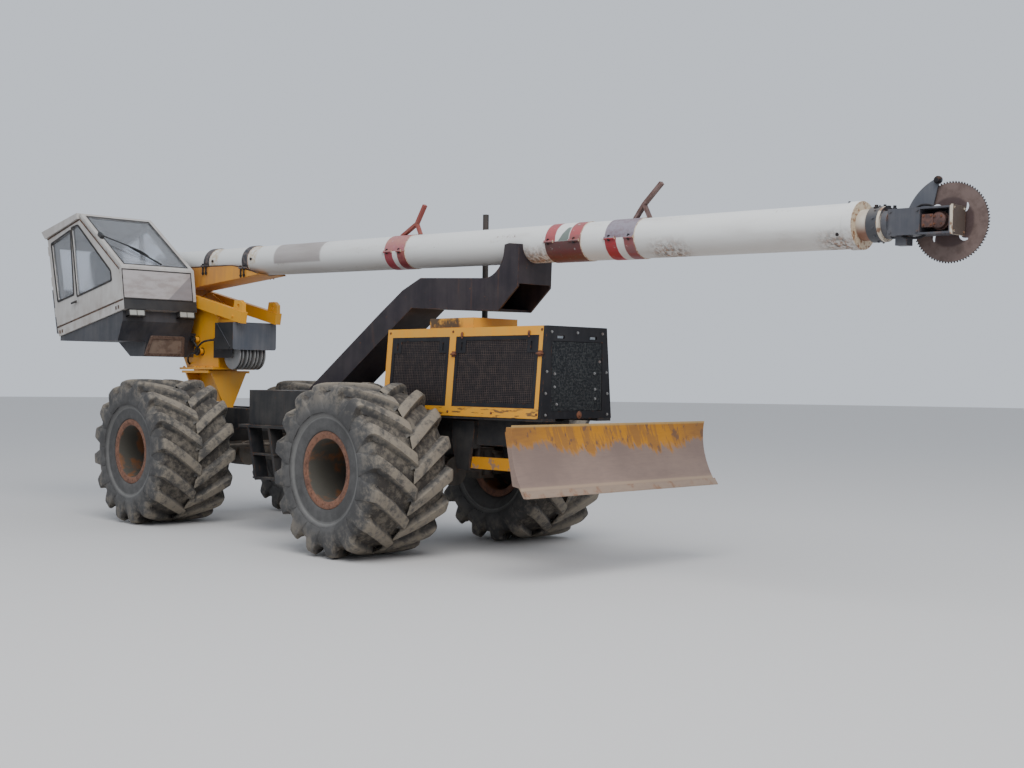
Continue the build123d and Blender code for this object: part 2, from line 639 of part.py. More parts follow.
guard_x = (front_axle_x - 3980, front_axle_x - 3570)
with BuildPart() as drum_guard:
    box_between(guard_x, (-305, 305), (2050, 2380))
    box_between((guard_x[0] + 8, guard_x[1] - 8), (-297, 297), (2040, 2372), mode=Mode.SUBTRACT)
    for side in (-1, 1):
        y_bracket = sorted((side * (column_half + seat_gap), side * (column_half + 12)))
        side_plate([(slew_x + 300, 1950), (drum_centre[0] + 40, 1950), (drum_centre[0] + 40, 2060),
                    (slew_x + 300, 2200)], y_bracket)
finish(drum_guard, "drum_guard")

# Boom: outer tube, its cradle, and the two forked deflectors on top
clamps = [(-4740, -4640), (-3890, -3790)]
wraps = [(-1033, -592), (1417, 1924), (2159, 2589)]
wrap_thick = 6
flange_reach = 24
with BuildPart() as outer_boom:
    tube_along_boom(boom_rear, boom_front, boom_od)
    tube_along_boom(boom_front - 87, boom_front, boom_od + 20)
    for start, end in clamps:
        tube_along_boom(start, end, boom_od + 14)
    for start, end in wraps:
        tube_along_boom(start, end, boom_od + 2 * wrap_thick)
        for at in (start, end - 90):
            with BuildSketch(boom_section(at)):
                Rectangle(boom_od + 2 * flange_reach, 26)
            extrude(amount=70)
    tube_along_boom(boom_rear + 14, boom_front - 70, boom_od - 2 * boom_wall, mode=Mode.SUBTRACT)
    tube_along_boom(boom_front - 80, boom_front + 1, inner_od + 2 * seat_gap, mode=Mode.SUBTRACT)
finish(outer_boom, "outer_boom")

cradle_outline = [(front_axle_x - 3180, 2948), (front_axle_x - 3780, 3080), (pivot[0] - 150, 3115),
                  (pivot[0] - 150, pivot[1]), (pivot[0] - 90, pivot[1] - 120),
                  (pivot[0] + 60, pivot[1] - 130), (front_axle_x - 4850, 2835)]
with BuildPart() as boom_cradle:
    for side in (-1, 1):
        side_plate(cradle_outline, sorted((side * (cradle_half - cradle_wall), side * cradle_half)))
    cradle_inner = cradle_half - cradle_wall - weld_gap
    side_plate([(front_axle_x - 3180, 2948), (front_axle_x - 4850, 2855), (front_axle_x - 4850, 2835)],
               (-cradle_inner, cradle_inner))
    tube_along_boom(boom_rear - 10, -3000, boom_od + 14 + 2 * seat_gap, mode=Mode.SUBTRACT)
    for y in ((-77, -52), (52, 77)):
        side_plate([(lift_eye[0] - 130, 3040), (lift_eye[0] + 190, 3040),
                    (lift_eye[0] + 110, lift_eye[1] - 60), (lift_eye[0] - 60, lift_eye[1] - 60)], y)
    cross_rod(*pivot, (-cradle_half, cradle_half), pivot_pin_d + 2 * running_gap, mode=Mode.SUBTRACT)
    tube_along_boom(boom_rear - 10, -3000, boom_od + 2 * seat_gap, mode=Mode.SUBTRACT)
finish(boom_cradle, "boom_cradle")

# Deflectors: a bent bar on the boom's top and a short brace, by their places along and above the boom's axis
boom_top = boom_od / 2 + seat_gap
deflectors = [([(-745, boom_top - 4), (-502, 298), (-380, 486)], (-437, boom_top)),
              ([(2530, boom_top - 4), (2631, 303), (2823, 480)], (2699, boom_top))]
bar_thick = 32
with BuildPart() as line_deflectors:
    for arm, brace_foot in deflectors:
        for middle_line, thick in ((arm, bar_thick), ([arm[1], brace_foot], bar_thick - 8)):
            with BuildSketch(boom_side(22)):
                with BuildLine():
                    Polyline(*strip(middle_line, thick), close=True)
                make_face()
            extrude(amount=44)
    wrap_room = boom_od + 2 * wrap_thick + 2 * seat_gap
    for start, end in wraps:
        tube_along_boom(start - 200, end + 400, boom_od + 2 * seat_gap, mode=Mode.SUBTRACT)
        tube_along_boom(start - seat_gap, end + seat_gap, wrap_room, mode=Mode.SUBTRACT)
finish(line_deflectors, "line_deflectors")

with BuildPart() as inner_boom:
    tube_along_boom(inner_rear, inner_front, inner_od, inner_od - 2 * inner_wall)
    tube_along_boom(inner_front - 30, inner_front + 60, inner_od + 34)
finish(inner_boom, "inner_boom")

# Saw head: it turns on the boom's end and carries the motor cage, the guard and the saw
box_start = inner_front + 135
cage_start = inner_front + 397
cage_end = inner_front + 640
cage_plate = 14
with BuildPart() as saw_head:
    tube_along_boom(inner_front + 60.3, inner_front + 84, inner_od + 30)
    tube_along_boom(inner_front + 84, box_start, inner_od - 10)
    with BuildSketch(boom_section(box_start)):
        Rectangle(2 * head_half, 200)
    extrude(amount=cage_end - box_start)
    with BuildSketch(boom_section(cage_start)):
        with Locations((-cage_plate, 0)):
            Rectangle(2 * head_half, 200 - 2 * cage_plate)
    extrude(amount=cage_end - cage_start - cage_plate, mode=Mode.SUBTRACT)
    with BuildSketch(boom_section(cage_end)):
        Rectangle(2 * head_half, 216)
    extrude(amount=18)
    with BuildSketch(boom_side(-40, saw_centre)):
        Circle(58)
    extrude(amount=-100)
    with BuildSketch(boom_side(50, saw_centre)):
        RegularPolygon(82, 8)
    extrude(amount=-head_half + 50)
    with BuildSketch(boom_side(saw_plane_y - 12, saw_centre)):
        Circle(70)
    extrude(amount=saw_plane_y - 12 - head_half + 20)
    with BuildSketch(boom_side(saw_plane_y + 14, saw_centre)):
        Circle(saw_bore_d / 2 - running_gap)
    extrude(amount=40)
    with BuildSketch(boom_section(box_start + 40)):
        with Locations((0, -135)):
            Rectangle(90, 70)
    extrude(amount=95)
finish(saw_head, "saw_head")

# Saw: teeth round the rim, four curved slots between the hub and the rim
teeth = 84
tooth_depth = 13
tooth_points = []
for tooth in range(teeth):
    for share, radius in ((0, saw_od / 2 - tooth_depth), (0.72, saw_od / 2)):
        turn = radians((tooth + share) * 360 / teeth)
        tooth_points.append((radius * cos(turn), radius * sin(turn)))
slots = 4
slot_reach = (0.43 * saw_od / 2, 0.64 * saw_od / 2)
slot_width = 17
with BuildPart() as saw_blade:
    with BuildSketch(boom_side(saw_plane_y + saw_thick / 2, saw_centre)):
        with BuildLine():
            Polyline(*tooth_points, close=True)
        make_face()
        Circle(saw_bore_d / 2, mode=Mode.SUBTRACT)
        with PolarLocations(0, slots, start_angle=38):
            with Locations(((slot_reach[0] + slot_reach[1]) / 2, 0)):
                SlotOverall(slot_reach[1] - slot_reach[0], slot_width, mode=Mode.SUBTRACT)
    extrude(amount=saw_thick)
    with BuildSketch(boom_side(saw_plane_y + saw_thick / 2 + 7, saw_centre)):
        RegularPolygon(60, 16)
        Circle(saw_bore_d / 2, mode=Mode.SUBTRACT)
    extrude(amount=7)
finish(saw_blade, "saw_blade")

with BuildPart() as blade_guard:
    with BuildSketch(boom_side(head_half + seat_gap + 12, saw_centre)):
        with BuildLine():
            Polyline((-136, 322), (-98, 290), (-150, 60), (-150, -60), (-339, -60), (-339, 110))
            ThreePointArc((-339, 110), (-264, 228), (-136, 322))
        make_face()
        with Locations((-100, 318)):
            Circle(30)
    extrude(amount=12)
finish(blade_guard, "blade_guard")

# Dozer blade: a hollow-faced mouldboard with ribs and two push arms
mid = ((blade_top[0] + blade_edge[0]) / 2 - blade_hollow, (blade_top[1] + blade_edge[1]) / 2)


def blade_x(z):
    """Middle of the mouldboard's thickness at the height z."""
    half = (blade_top[1] - blade_edge[1]) / 2
    chord = mid[0] + blade_hollow + (mid[1] - z) / (2 * half) * (blade_edge[0] - blade_top[0])
    return chord - blade_hollow * (1 - ((z - mid[1]) / half) ** 2) - blade_wall / 2


with BuildPart() as dozer_blade:
    with BuildSketch(Plane.XZ.offset(-blade_half)):
        with BuildLine():
            ThreePointArc(blade_top, mid, blade_edge)
            Line(blade_edge, (blade_edge[0] - blade_wall, blade_edge[1]))
            ThreePointArc((blade_edge[0] - blade_wall, blade_edge[1]), (mid[0] - blade_wall, mid[1]),
                          (blade_top[0] - blade_wall, blade_top[1]))
            Line((blade_top[0] - blade_wall, blade_top[1]), blade_top)
        make_face()
    extrude(amount=2 * blade_half)
    for side in (-1, 1):
        y_arm = sorted((side * (push_arm_y - push_arm_w / 2), side * (push_arm_y + push_arm_w / 2)))
        side_plate([(blade_pivot[0] - 55, blade_pivot[1] - 55), (blade_pivot[0] - 55, blade_pivot[1] + 55),
                    (blade_pivot[0] + 100, blade_pivot[1] + 55), (blade_x(985), 985), (blade_x(860), 860),
                    (blade_pivot[0] + 100, blade_pivot[1] - 55)], y_arm)
        for y in ((blade_cyl_y - 50, blade_cyl_y - 30), (blade_cyl_y + 30, blade_cyl_y + 50)):
            y_ear = sorted((side * y[0], side * y[1]))
            side_plate([(blade_cyl_eye[0] - 45, blade_cyl_eye[1] + 40), (blade_x(1200), 1200),
                        (blade_x(1010), 1010), (blade_cyl_eye[0] - 45, blade_cyl_eye[1] - 40)], y_ear)
            cross_rod(*blade_cyl_eye, y_ear, 56)
        cross_rod(*blade_pivot, y_arm, 50 + 2 * running_gap, mode=Mode.SUBTRACT)
    for y in (-blade_half + 20, -780, 780, blade_half):
        side_plate([(blade_x(1290), 1290), (blade_x(1290) - 70, 1280), (blade_x(800) - 75, 830),
                    (blade_x(770), 770)], (y - 20, y))
    box_between((blade_x(1290) - 60, blade_x(1290)), (-blade_half, blade_half), (1262, 1322))
finish(dozer_blade, "dozer_blade")

# Cab planes
cab_tilt = radians(cab_pitch_deg)


def cab_plane(y):
    """The cab's side plane at y: its x is the cab's u, its y the cab's w."""
    forwards = (cos(cab_tilt), 0, sin(cab_tilt))
    return Plane(origin=(cab_corner[0], y, cab_corner[1]), x_dir=forwards, z_dir=(0, -1, 0))


def cab_slab(points, y, mode=Mode.ADD, inset=0):
    """A plate whose outline is drawn in the cab's u and w, between the two values of y."""
    with BuildSketch(cab_plane(y[1])) as outline:
        with BuildLine():
            Polyline(*points, close=True)
        make_face()
        if inset:
            offset(amount=-inset, kind=Kind.INTERSECTION, mode=Mode.REPLACE)
    extrude(outline.sketch, amount=y[1] - y[0], mode=mode)


rear_window = [(-1619, 454), (-1696, 1234), (-1143, 1276), (-1172, 451)]
front_window = [(-1076, 409), (-1102, 1300), (-930, 1292), (-171, 527), (-166, 413)]
inside_y = (cab_right + cab_wall + 1, cab_left - cab_wall)

with BuildPart() as cab_floor:
    cab_slab([(-1661, 0), (-1700, floor_top), (100, floor_top), (100, 0)], (cab_right, cab_left))
    cab_slab([(-1600, 40), (-1600, 130), (40, 130), (40, 40)], (cab_right + 60, cab_left - 60),
             mode=Mode.SUBTRACT)
finish(cab_floor, "cab_floor")

with BuildPart() as cab_left_side:
    cab_slab(cab_side, (cab_left - cab_wall, cab_left))
    for opening in (rear_window, front_window):
        cab_slab(opening, (cab_left - 2 * cab_wall, cab_left + 10), mode=Mode.SUBTRACT)
finish(cab_left_side, "cab_left_side")

# Door hinges stand behind the door's rear edge, in line with it
hinge_line = cab_plane(cab_right + hinge_in)
hinge_foot = hinge_line.from_local_coords(Vector(cab_side[0][0], cab_side[0][1], 0))
hinge_head = hinge_line.from_local_coords(Vector(cab_side[1][0], cab_side[1][1], 0))
hinge_dir = (hinge_head - hinge_foot).normalized()
hinge_rear = hinge_dir.cross(Vector(0, 1, 0))


def hinge_section(up):
    """A plane across the hinge line: its x is inwards (+Y), its y is rearwards, 0, 0 is the pin."""
    centre = hinge_foot + hinge_dir * up + hinge_rear * hinge_back
    return Plane(origin=centre, x_dir=(0, 1, 0), z_dir=hinge_dir)


with BuildPart() as cab_door:
    cab_slab(cab_side, (cab_right, cab_right + cab_wall), inset=door_clearance)
    for up in hinge_ups:
        with BuildSketch(hinge_section(up - 30)):
            with BuildLine():
                Polyline((-10, 0), (-10, -hinge_back - 30), (-2, -hinge_back - 30), (-2, 0), close=True)
            make_face()
            Circle(12)
            Circle(hinge_pin_d / 2 + running_gap, mode=Mode.SUBTRACT)
        extrude(amount=60)
    for opening in (rear_window, front_window):
        cab_slab(opening, (cab_right - 10, cab_right + 2 * cab_wall), mode=Mode.SUBTRACT)
finish(cab_door, "cab_door")

with BuildPart() as cab_rear_wall:
    cab_slab([(-1700, 130), (-1806, 1330), (-1776, 1330), (-1670, 130)], inside_y)
    cab_slab([(-1800, 520), (-1800, 1200), (-1600, 1200), (-1600, 520)],
             (inside_y[0] + 110, inside_y[1] - 110), mode=Mode.SUBTRACT)
    for up in hinge_ups:
        for low in (up - 60, up + 32):
            with BuildSketch(hinge_section(low)):
                with BuildLine():
                    Polyline((-2, -hinge_back - 1), (70, -hinge_back - 1), (70, -6), (-2, -6), close=True)
                make_face()
                Circle(12)
            extrude(amount=28)
        with BuildSketch(hinge_section(up - 60)):
            Circle(hinge_pin_d / 2)
        extrude(amount=120)
finish(cab_rear_wall, "cab_rear_wall")

with BuildPart() as cab_roof:
    cab_slab([(-1816, 1329.9), (-1905, 1444), (-882, 1440), (-882, 1366.9)], (cab_right - 30, cab_left + 20))
finish(cab_roof, "cab_roof")

screen_top, screen_foot = (-853, 1430), (100, 530)
screen_len = hypot(screen_foot[0] - screen_top[0], screen_foot[1] - screen_top[1])
screen_u = (screen_foot[0] - screen_top[0]) / screen_len
screen_w = (screen_foot[1] - screen_top[1]) / screen_len


def on_screen(down, inwards):
    """The point this far down the windscreen's slope and this far behind its face."""
    return (screen_top[0] + down * screen_u + inwards * screen_w,
            screen_top[1] + down * screen_w - inwards * screen_u)


pane_y = (cab_right + 60, cab_left - 60)
with BuildPart() as cab_front_frame:
    cab_slab([on_screen(0, 36), screen_top, screen_foot, (100, 130), (66, 130), (66, 514.6)],
             (cab_right, cab_left))
    pane_end = screen_len - 60
    cab_slab([on_screen(60, -20), on_screen(60, 80), on_screen(pane_end, 80), on_screen(pane_end, -20)],
             pane_y, mode=Mode.SUBTRACT)
    cab_slab([(0, 470), (120, 470), (120, 175), (0, 175)], pane_y, mode=Mode.SUBTRACT)
finish(cab_front_frame, "cab_front_frame")

with BuildPart() as cab_underbody:
    side_plate([(cab_corner[0] - 1640, 2800), (cab_corner[0] - 1640, 2158), (cab_corner[0] - 780, 2136),
                (cab_corner[0] - 100, 2140), (cab_corner[0] + 20, 2380), (cab_corner[0] + 20, 2800)],
               (cab_right + 20, cab_left))
    side_plate([(cab_corner[0] - 800, 2137), (cab_corner[0] - 500, 1960), (cab_corner[0] - 160, 1960),
                (cab_corner[0] - 100, 2140)], (-900, cab_left))
    side_plate([(cab_corner[0] - 500, 1960), (cab_corner[0] - 500, 2260), (cab_corner[0] - 100, 2260),
                (cab_corner[0] - 160, 1960)], (cab_left, -column_half))
    cab_slab([(-2500, 0), (-2500, 900), (800, 900), (800, 0)], (cab_right - 100, 0), mode=Mode.SUBTRACT)
finish(cab_underbody, "cab_underbody")

# Fixed panes: windscreen, the lower front pane, the rear pane and the left side's two panes
with BuildPart() as cab_glass:
    for opening in (rear_window, front_window):
        cab_slab(opening, (cab_left - 20, cab_left - 20 + glass_thick), inset=glass_gap)
    cab_slab([(-1790, 521), (-1784, 521), (-1784, 1199), (-1790, 1199)],
             (inside_y[0] + 111, inside_y[1] - 111))
    clear = (pane_y[0] + glass_gap, pane_y[1] - glass_gap)
    foot = pane_end - glass_gap
    cab_slab([on_screen(60 + glass_gap, 10), on_screen(60 + glass_gap, 10 + glass_thick),
              on_screen(foot, 10 + glass_thick), on_screen(foot, 10)], clear)
    low_pane = (175 + glass_gap, 470 - glass_gap)
    cab_slab([(78, low_pane[0]), (84, low_pane[0]), (84, low_pane[1]), (78, low_pane[1])], clear)
finish(cab_glass, "cab_glass")

with BuildPart() as door_glass:
    for opening in (rear_window, front_window):
        cab_slab(opening, (cab_right + 14, cab_right + 14 + glass_thick), inset=glass_gap)
finish(door_glass, "door_glass")

with BuildPart() as operator_seat:
    cab_slab([(-1150, 40.3), (-1150, 330), (-700, 330), (-700, 40.3)], (-980, -620))
    cab_slab([(-1180, 330), (-1180, 450), (-640, 450), (-640, 330)], (-1050, -560))
    cab_slab([(-1180, 450), (-1250, 1050), (-1130, 1050), (-1060, 450)], (-1040, -570))
finish(operator_seat, "operator_seat")

with BuildPart() as work_lamps:
    for y in ((-1240, -1030), (-560, -350)):
        cab_slab([(25, -78), (25, -0.3), (98, -0.3), (98, -78)], y)
finish(work_lamps, "work_lamps")

with BuildPart() as cutting_edge:
    box_between((blade_edge[0] + weld_gap, blade_edge[0] + 19), (-blade_half, blade_half),
                (blade_edge[1], blade_edge[1] + 130))
finish(cutting_edge, "cutting_edge")
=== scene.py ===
import bpy
import bmesh
import json
from math import cos, pi, radians, sin, tan
from mathutils import Matrix, Vector

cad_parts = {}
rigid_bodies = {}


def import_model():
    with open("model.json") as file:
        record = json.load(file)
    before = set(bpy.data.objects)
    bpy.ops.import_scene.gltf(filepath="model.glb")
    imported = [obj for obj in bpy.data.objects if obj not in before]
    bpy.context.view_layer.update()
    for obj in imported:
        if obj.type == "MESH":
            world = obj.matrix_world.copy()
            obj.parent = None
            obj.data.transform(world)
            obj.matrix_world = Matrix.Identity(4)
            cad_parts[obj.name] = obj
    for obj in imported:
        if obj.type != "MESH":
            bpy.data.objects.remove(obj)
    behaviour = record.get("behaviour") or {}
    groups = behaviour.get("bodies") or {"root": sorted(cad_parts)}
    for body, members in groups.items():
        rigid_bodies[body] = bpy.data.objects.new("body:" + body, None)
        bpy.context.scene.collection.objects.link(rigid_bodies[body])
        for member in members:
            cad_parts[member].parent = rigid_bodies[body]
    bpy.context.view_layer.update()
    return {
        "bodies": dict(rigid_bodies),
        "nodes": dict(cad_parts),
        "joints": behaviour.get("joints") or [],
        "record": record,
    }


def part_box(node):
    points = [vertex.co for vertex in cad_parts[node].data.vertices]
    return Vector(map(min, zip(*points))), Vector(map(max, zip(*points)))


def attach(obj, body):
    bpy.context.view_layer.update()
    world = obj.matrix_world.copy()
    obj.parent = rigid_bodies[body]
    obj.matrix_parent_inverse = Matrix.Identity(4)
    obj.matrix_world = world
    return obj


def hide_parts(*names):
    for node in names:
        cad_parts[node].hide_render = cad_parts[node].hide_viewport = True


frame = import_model()
nodes = frame["nodes"]
print("frame loaded:", len(nodes), "nodes")


def middle(node):
    low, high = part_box(node)
    return (Vector(low) + Vector(high)) / 2


corners = ("front_right", "front_left", "rear_right", "rear_left")
wheelHubs = {corner: middle(f"{corner}_tyre") for corner in corners}

# Where the photograph was taken from
cameraPlace = {"eye": (10.6419, -8.9848, 1.7326), "heading": 135.843, "pitch": -0.236, "roll": 0.643,
               "lens": 46.31}


def aimCamera(place):
    data = bpy.data.cameras.new("camera")
    data.lens = place["lens"]
    data.sensor_width = 36
    data.clip_end = 500
    camera = bpy.data.objects.new("camera", data)
    bpy.context.scene.collection.objects.link(camera)
    heading, pitch, roll = (radians(place[key]) for key in ("heading", "pitch", "roll"))
    ahead = Vector((cos(heading) * cos(pitch), sin(heading) * cos(pitch), sin(pitch)))
    level = ahead.cross(Vector((0, 0, 1))).normalized()
    upright = level.cross(ahead)
    right = cos(roll) * level + sin(roll) * upright
    up = cos(roll) * upright - sin(roll) * level
    turned = Matrix((right, up, -ahead)).transposed().to_4x4()
    camera.matrix_world = Matrix.Translation(place["eye"]) @ turned
    bpy.context.scene.camera = camera


aimCamera(cameraPlace)

# A bright overcast: an even sky, and a wide soft lamp high on the camera's side
studio = {"sky": (0.80, 0.86, 0.95), "skyStrength": 0.90, "lampPower": 2600, "lampSize": 14,
          "lampPlace": (9, -7, 15),
          "floorRadius": 90, "floorColour": (0.60, 0.585, 0.57)}


def buildStudio(look):
    world = bpy.data.worlds.new("overcast")
    bpy.context.scene.world = world
    world.use_nodes = True
    sky = world.node_tree.nodes["Background"]
    sky.inputs["Color"].default_value = (*look["sky"], 1)
    sky.inputs["Strength"].default_value = look["skyStrength"]
    data = bpy.data.lights.new("softLamp", "AREA")
    data.energy = look["lampPower"]
    data.shape = "DISK"
    data.size = look["lampSize"]
    lamp = bpy.data.objects.new("softLamp", data)
    bpy.context.scene.collection.objects.link(lamp)
    lamp.location = look["lampPlace"]
    lamp.rotation_euler = (-lamp.location).to_track_quat("-Z", "Y").to_euler()
    mesh = bpy.data.meshes.new("floor")
    build = bmesh.new()
    bmesh.ops.create_circle(build, cap_ends=True, radius=look["floorRadius"], segments=96)
    build.to_mesh(mesh)
    build.free()
    floor = bpy.data.objects.new("floor", mesh)
    bpy.context.scene.collection.objects.link(floor)
    paint = bpy.data.materials.new("floorPaint")
    paint.use_nodes = True
    shader = paint.node_tree.nodes["Principled BSDF"]
    shader.inputs["Base Color"].default_value = (*look["floorColour"], 1)
    shader.inputs["Roughness"].default_value = 0.9
    mesh.materials.append(paint)


buildStudio(studio)
print("camera and studio ready")


class Level:  # a number that changes over a surface: plain arithmetic on it adds the Math nodes
    def __init__(self, finish, socket):
        self.finish = finish
        self.socket = socket

    def maths(self, operation, *values):
        return self.finish.add("Math", {"operation": operation}, dict(enumerate(values)))

    def __add__(self, other):
        return self.maths("ADD", self, other)

    def __sub__(self, other):
        return self.maths("SUBTRACT", self, other)

    def __mul__(self, other):
        return self.maths("MULTIPLY", self, other)

    def __truediv__(self, other):
        return self.maths("DIVIDE", self, other)

    def __radd__(self, other):
        return self.maths("ADD", other, self)

    def __rsub__(self, other):
        return self.maths("SUBTRACT", other, self)

    def __rmul__(self, other):
        return self.maths("MULTIPLY", other, self)

    def __rtruediv__(self, other):
        return self.maths("DIVIDE", other, self)

    def __pow__(self, other):
        return self.maths("POWER", self, other)

    def most(self, other):
        return self.maths("MAXIMUM", self, other)

    def least(self, other):
        return self.maths("MINIMUM", self, other)

    def size(self):
        return self.maths("ABSOLUTE", self)

    def ramp(self, low, high):  # 0 below low, 1 above high, smooth between
        return self.finish.add("MapRange", {"interpolation_type": "SMOOTHSTEP"},
                               {"Value": self, "From Min": low, "From Max": high})


class Finish:  # one procedural material, built node by node
    def __init__(self, name, metallic=0.0):
        self.material = bpy.data.materials.new(name)
        self.material.use_nodes = True
        self.tree = self.material.node_tree
        self.shader = self.tree.nodes["Principled BSDF"]
        self.shader.inputs["Metallic"].default_value = metallic
        place = self.tree.nodes.new("ShaderNodeTexCoord")
        self.place = Level(self, place.outputs["Object"])
        self.facing = self.split(Level(self, place.outputs["Normal"]))
        self.x, self.y, self.z = self.split(self.place)

    def feed(self, socket, value):
        if isinstance(value, Level):
            self.tree.links.new(value.socket, socket)
        elif isinstance(value, tuple) and len(value) == 3 and socket.type == "RGBA":
            socket.default_value = (*value, 1)
        else:
            socket.default_value = value

    def add(self, kind, settings, values, out=0):
        node = self.tree.nodes.new("ShaderNode" + kind)
        for key, value in settings.items():
            setattr(node, key, value)
        for key, value in values.items():
            self.feed(node.inputs[key], value)
        return Level(self, node.outputs[out])

    def split(self, vector):
        parts = self.tree.nodes.new("ShaderNodeSeparateXYZ")
        self.feed(parts.inputs[0], vector)
        return [Level(self, output) for output in parts.outputs]

    def join(self, x, y, z):
        return self.add("CombineXYZ", {}, {0: x, 1: y, 2: z})

    def noise(self, scale, detail=4.0, stretch=(1, 1, 1), shift=0.0, rough=0.55):
        turned = self.add("Mapping", {},
                          {"Vector": self.place, "Scale": stretch, "Location": (shift, shift, shift)})
        return self.add("TexNoise", {}, {"Vector": turned, "Scale": scale, "Detail": detail,
                                         "Roughness": rough})

    def mix(self, share, first, second):
        return self.add("Mix", {"data_type": "RGBA", "clamp_factor": True}, {0: share, 6: first, 7: second},
                        2)

    def wornEdge(self, radius):  # 1 where the surface turns within this distance
        rounded = self.add("Bevel", {"samples": 4}, {"Radius": radius})
        flat = self.add("NewGeometry", {}, {}, "True Normal")
        same = self.add("VectorMath", {"operation": "DOT_PRODUCT"}, {0: rounded, 1: flat}, "Value")
        return (1 - same).ramp(0.01, 0.12)

    def bump(self, height, strength=0.3, distance=0.004):
        normal = self.add("Bump", {}, {"Height": height, "Strength": strength, "Distance": distance})
        self.feed(self.shader.inputs["Normal"], normal)

    def colour(self, value, roughness):
        self.feed(self.shader.inputs["Base Color"], value)
        self.feed(self.shader.inputs["Roughness"], roughness)
        return self.material


# Paint on steel, with dust on what faces up, streaks, and rust in spots and at edges
# Columns: base colour, faded shade, share of rust, share of dust, roughness, shine
paints = {
    "frameBlack": ((0.014, 0.015, 0.018), (0.030, 0.029, 0.029), 0.40, 0.34, 0.55, 0.25),
    "axleIron": ((0.030, 0.026, 0.022), (0.075, 0.062, 0.050), 0.60, 0.80, 0.60, 0.5),
    "hoodYellow": ((0.74, 0.31, 0.010), (0.66, 0.32, 0.030), 0.12, 0.15, 0.42, 0.5),
    "meshBlack": ((0.012, 0.012, 0.015), (0.021, 0.021, 0.024), 0.08, 0.10, 0.60, 0.2),
    "engineIron": ((0.040, 0.040, 0.040), (0.080, 0.070, 0.060), 0.30, 0.50, 0.60, 0.5),
    "exhaustSoot": ((0.020, 0.018, 0.018), (0.050, 0.034, 0.026), 0.50, 0.20, 0.60, 0.5),
    "restBlack": ((0.016, 0.012, 0.017), (0.032, 0.024, 0.029), 0.45, 0.22, 0.45, 0.3),
    "turretYellow": ((0.78, 0.34, 0.009), (0.70, 0.34, 0.030), 0.14, 0.12, 0.36, 0.5),
    "cradleTan": ((0.70, 0.31, 0.035), (0.52, 0.23, 0.060), 0.20, 0.15, 0.50, 0.5),
    "innerWhite": ((0.62, 0.60, 0.54), (0.48, 0.42, 0.34), 0.35, 0.30, 0.40, 0.5),
    "deflectorRed": ((0.26, 0.045, 0.035), (0.22, 0.075, 0.05), 0.45, 0.20, 0.50, 0.5),
    "headSlate": ((0.042, 0.046, 0.060), (0.085, 0.085, 0.095), 0.30, 0.30, 0.42, 0.5),
    "guardSlate": ((0.065, 0.072, 0.090), (0.120, 0.122, 0.135), 0.10, 0.25, 0.45, 0.5),
    "cabWhite": ((0.52, 0.50, 0.475), (0.42, 0.39, 0.36), 0.14, 0.30, 0.42, 0.5),
    "cabDark": ((0.022, 0.024, 0.032), (0.050, 0.050, 0.058), 0.20, 0.40, 0.45, 0.5),
    "drumGrey": ((0.22, 0.22, 0.22), (0.30, 0.29, 0.28), 0.15, 0.35, 0.55, 0.5),
    "cylinderBlack": ((0.018, 0.018, 0.019), (0.04, 0.037, 0.033), 0.20, 0.35, 0.40, 0.5),
}
rustTones = {"deep": (0.060, 0.024, 0.012), "light": (0.24, 0.095, 0.035)}
dustTone = (0.34, 0.29, 0.235)


def paintedSteel(name, look, over=None):
    base, faded, rusty, dusty, gloss, shine = look
    finish = Finish(name)
    finish.shader.inputs["Specular IOR Level"].default_value = shine
    broad = finish.noise(1.6, 5, shift=3)
    fine = finish.noise(38, 4)
    streaks = finish.noise(7, 5, stretch=(2.2, 2.2, 0.22), shift=7)
    shade = finish.mix((broad * 0.7 + streaks * 0.5).ramp(0.45, 0.78), base, faded)
    if over:
        shade = over(finish, shade)
    rustTone = finish.mix(finish.noise(26, 5, shift=2), rustTones["deep"], rustTones["light"])
    speckle = finish.noise(11, 8, shift=5, rough=0.7) * 0.75 + fine * 0.25
    spots = speckle.ramp(0.70 - 0.22 * rusty, 0.76 - 0.16 * rusty)
    edge = finish.wornEdge(0.012) * finish.noise(17, 5, shift=9).ramp(0.56 - 0.3 * rusty, 0.70)
    runs = finish.noise(13, 4, stretch=(1.6, 1.6, 0.12), shift=11).ramp(0.60, 0.78) * rusty * 0.5
    rust = spots.most(edge).most(runs)
    shade = finish.mix(rust, shade, rustTone)
    up = finish.facing[2].ramp(0.25, 0.95)
    dust = (up * 0.75 + 0.18) * finish.noise(5, 6, shift=1).ramp(0.30, 0.68) * dusty
    shade = finish.mix(dust, shade, dustTone)
    rough = gloss + rust * 0.35 + dust * 0.3 + fine * 0.08
    finish.bump(rust * 0.5 + fine * 0.12, 0.35, 0.003)
    return finish.colour(shade, rough.least(0.95))


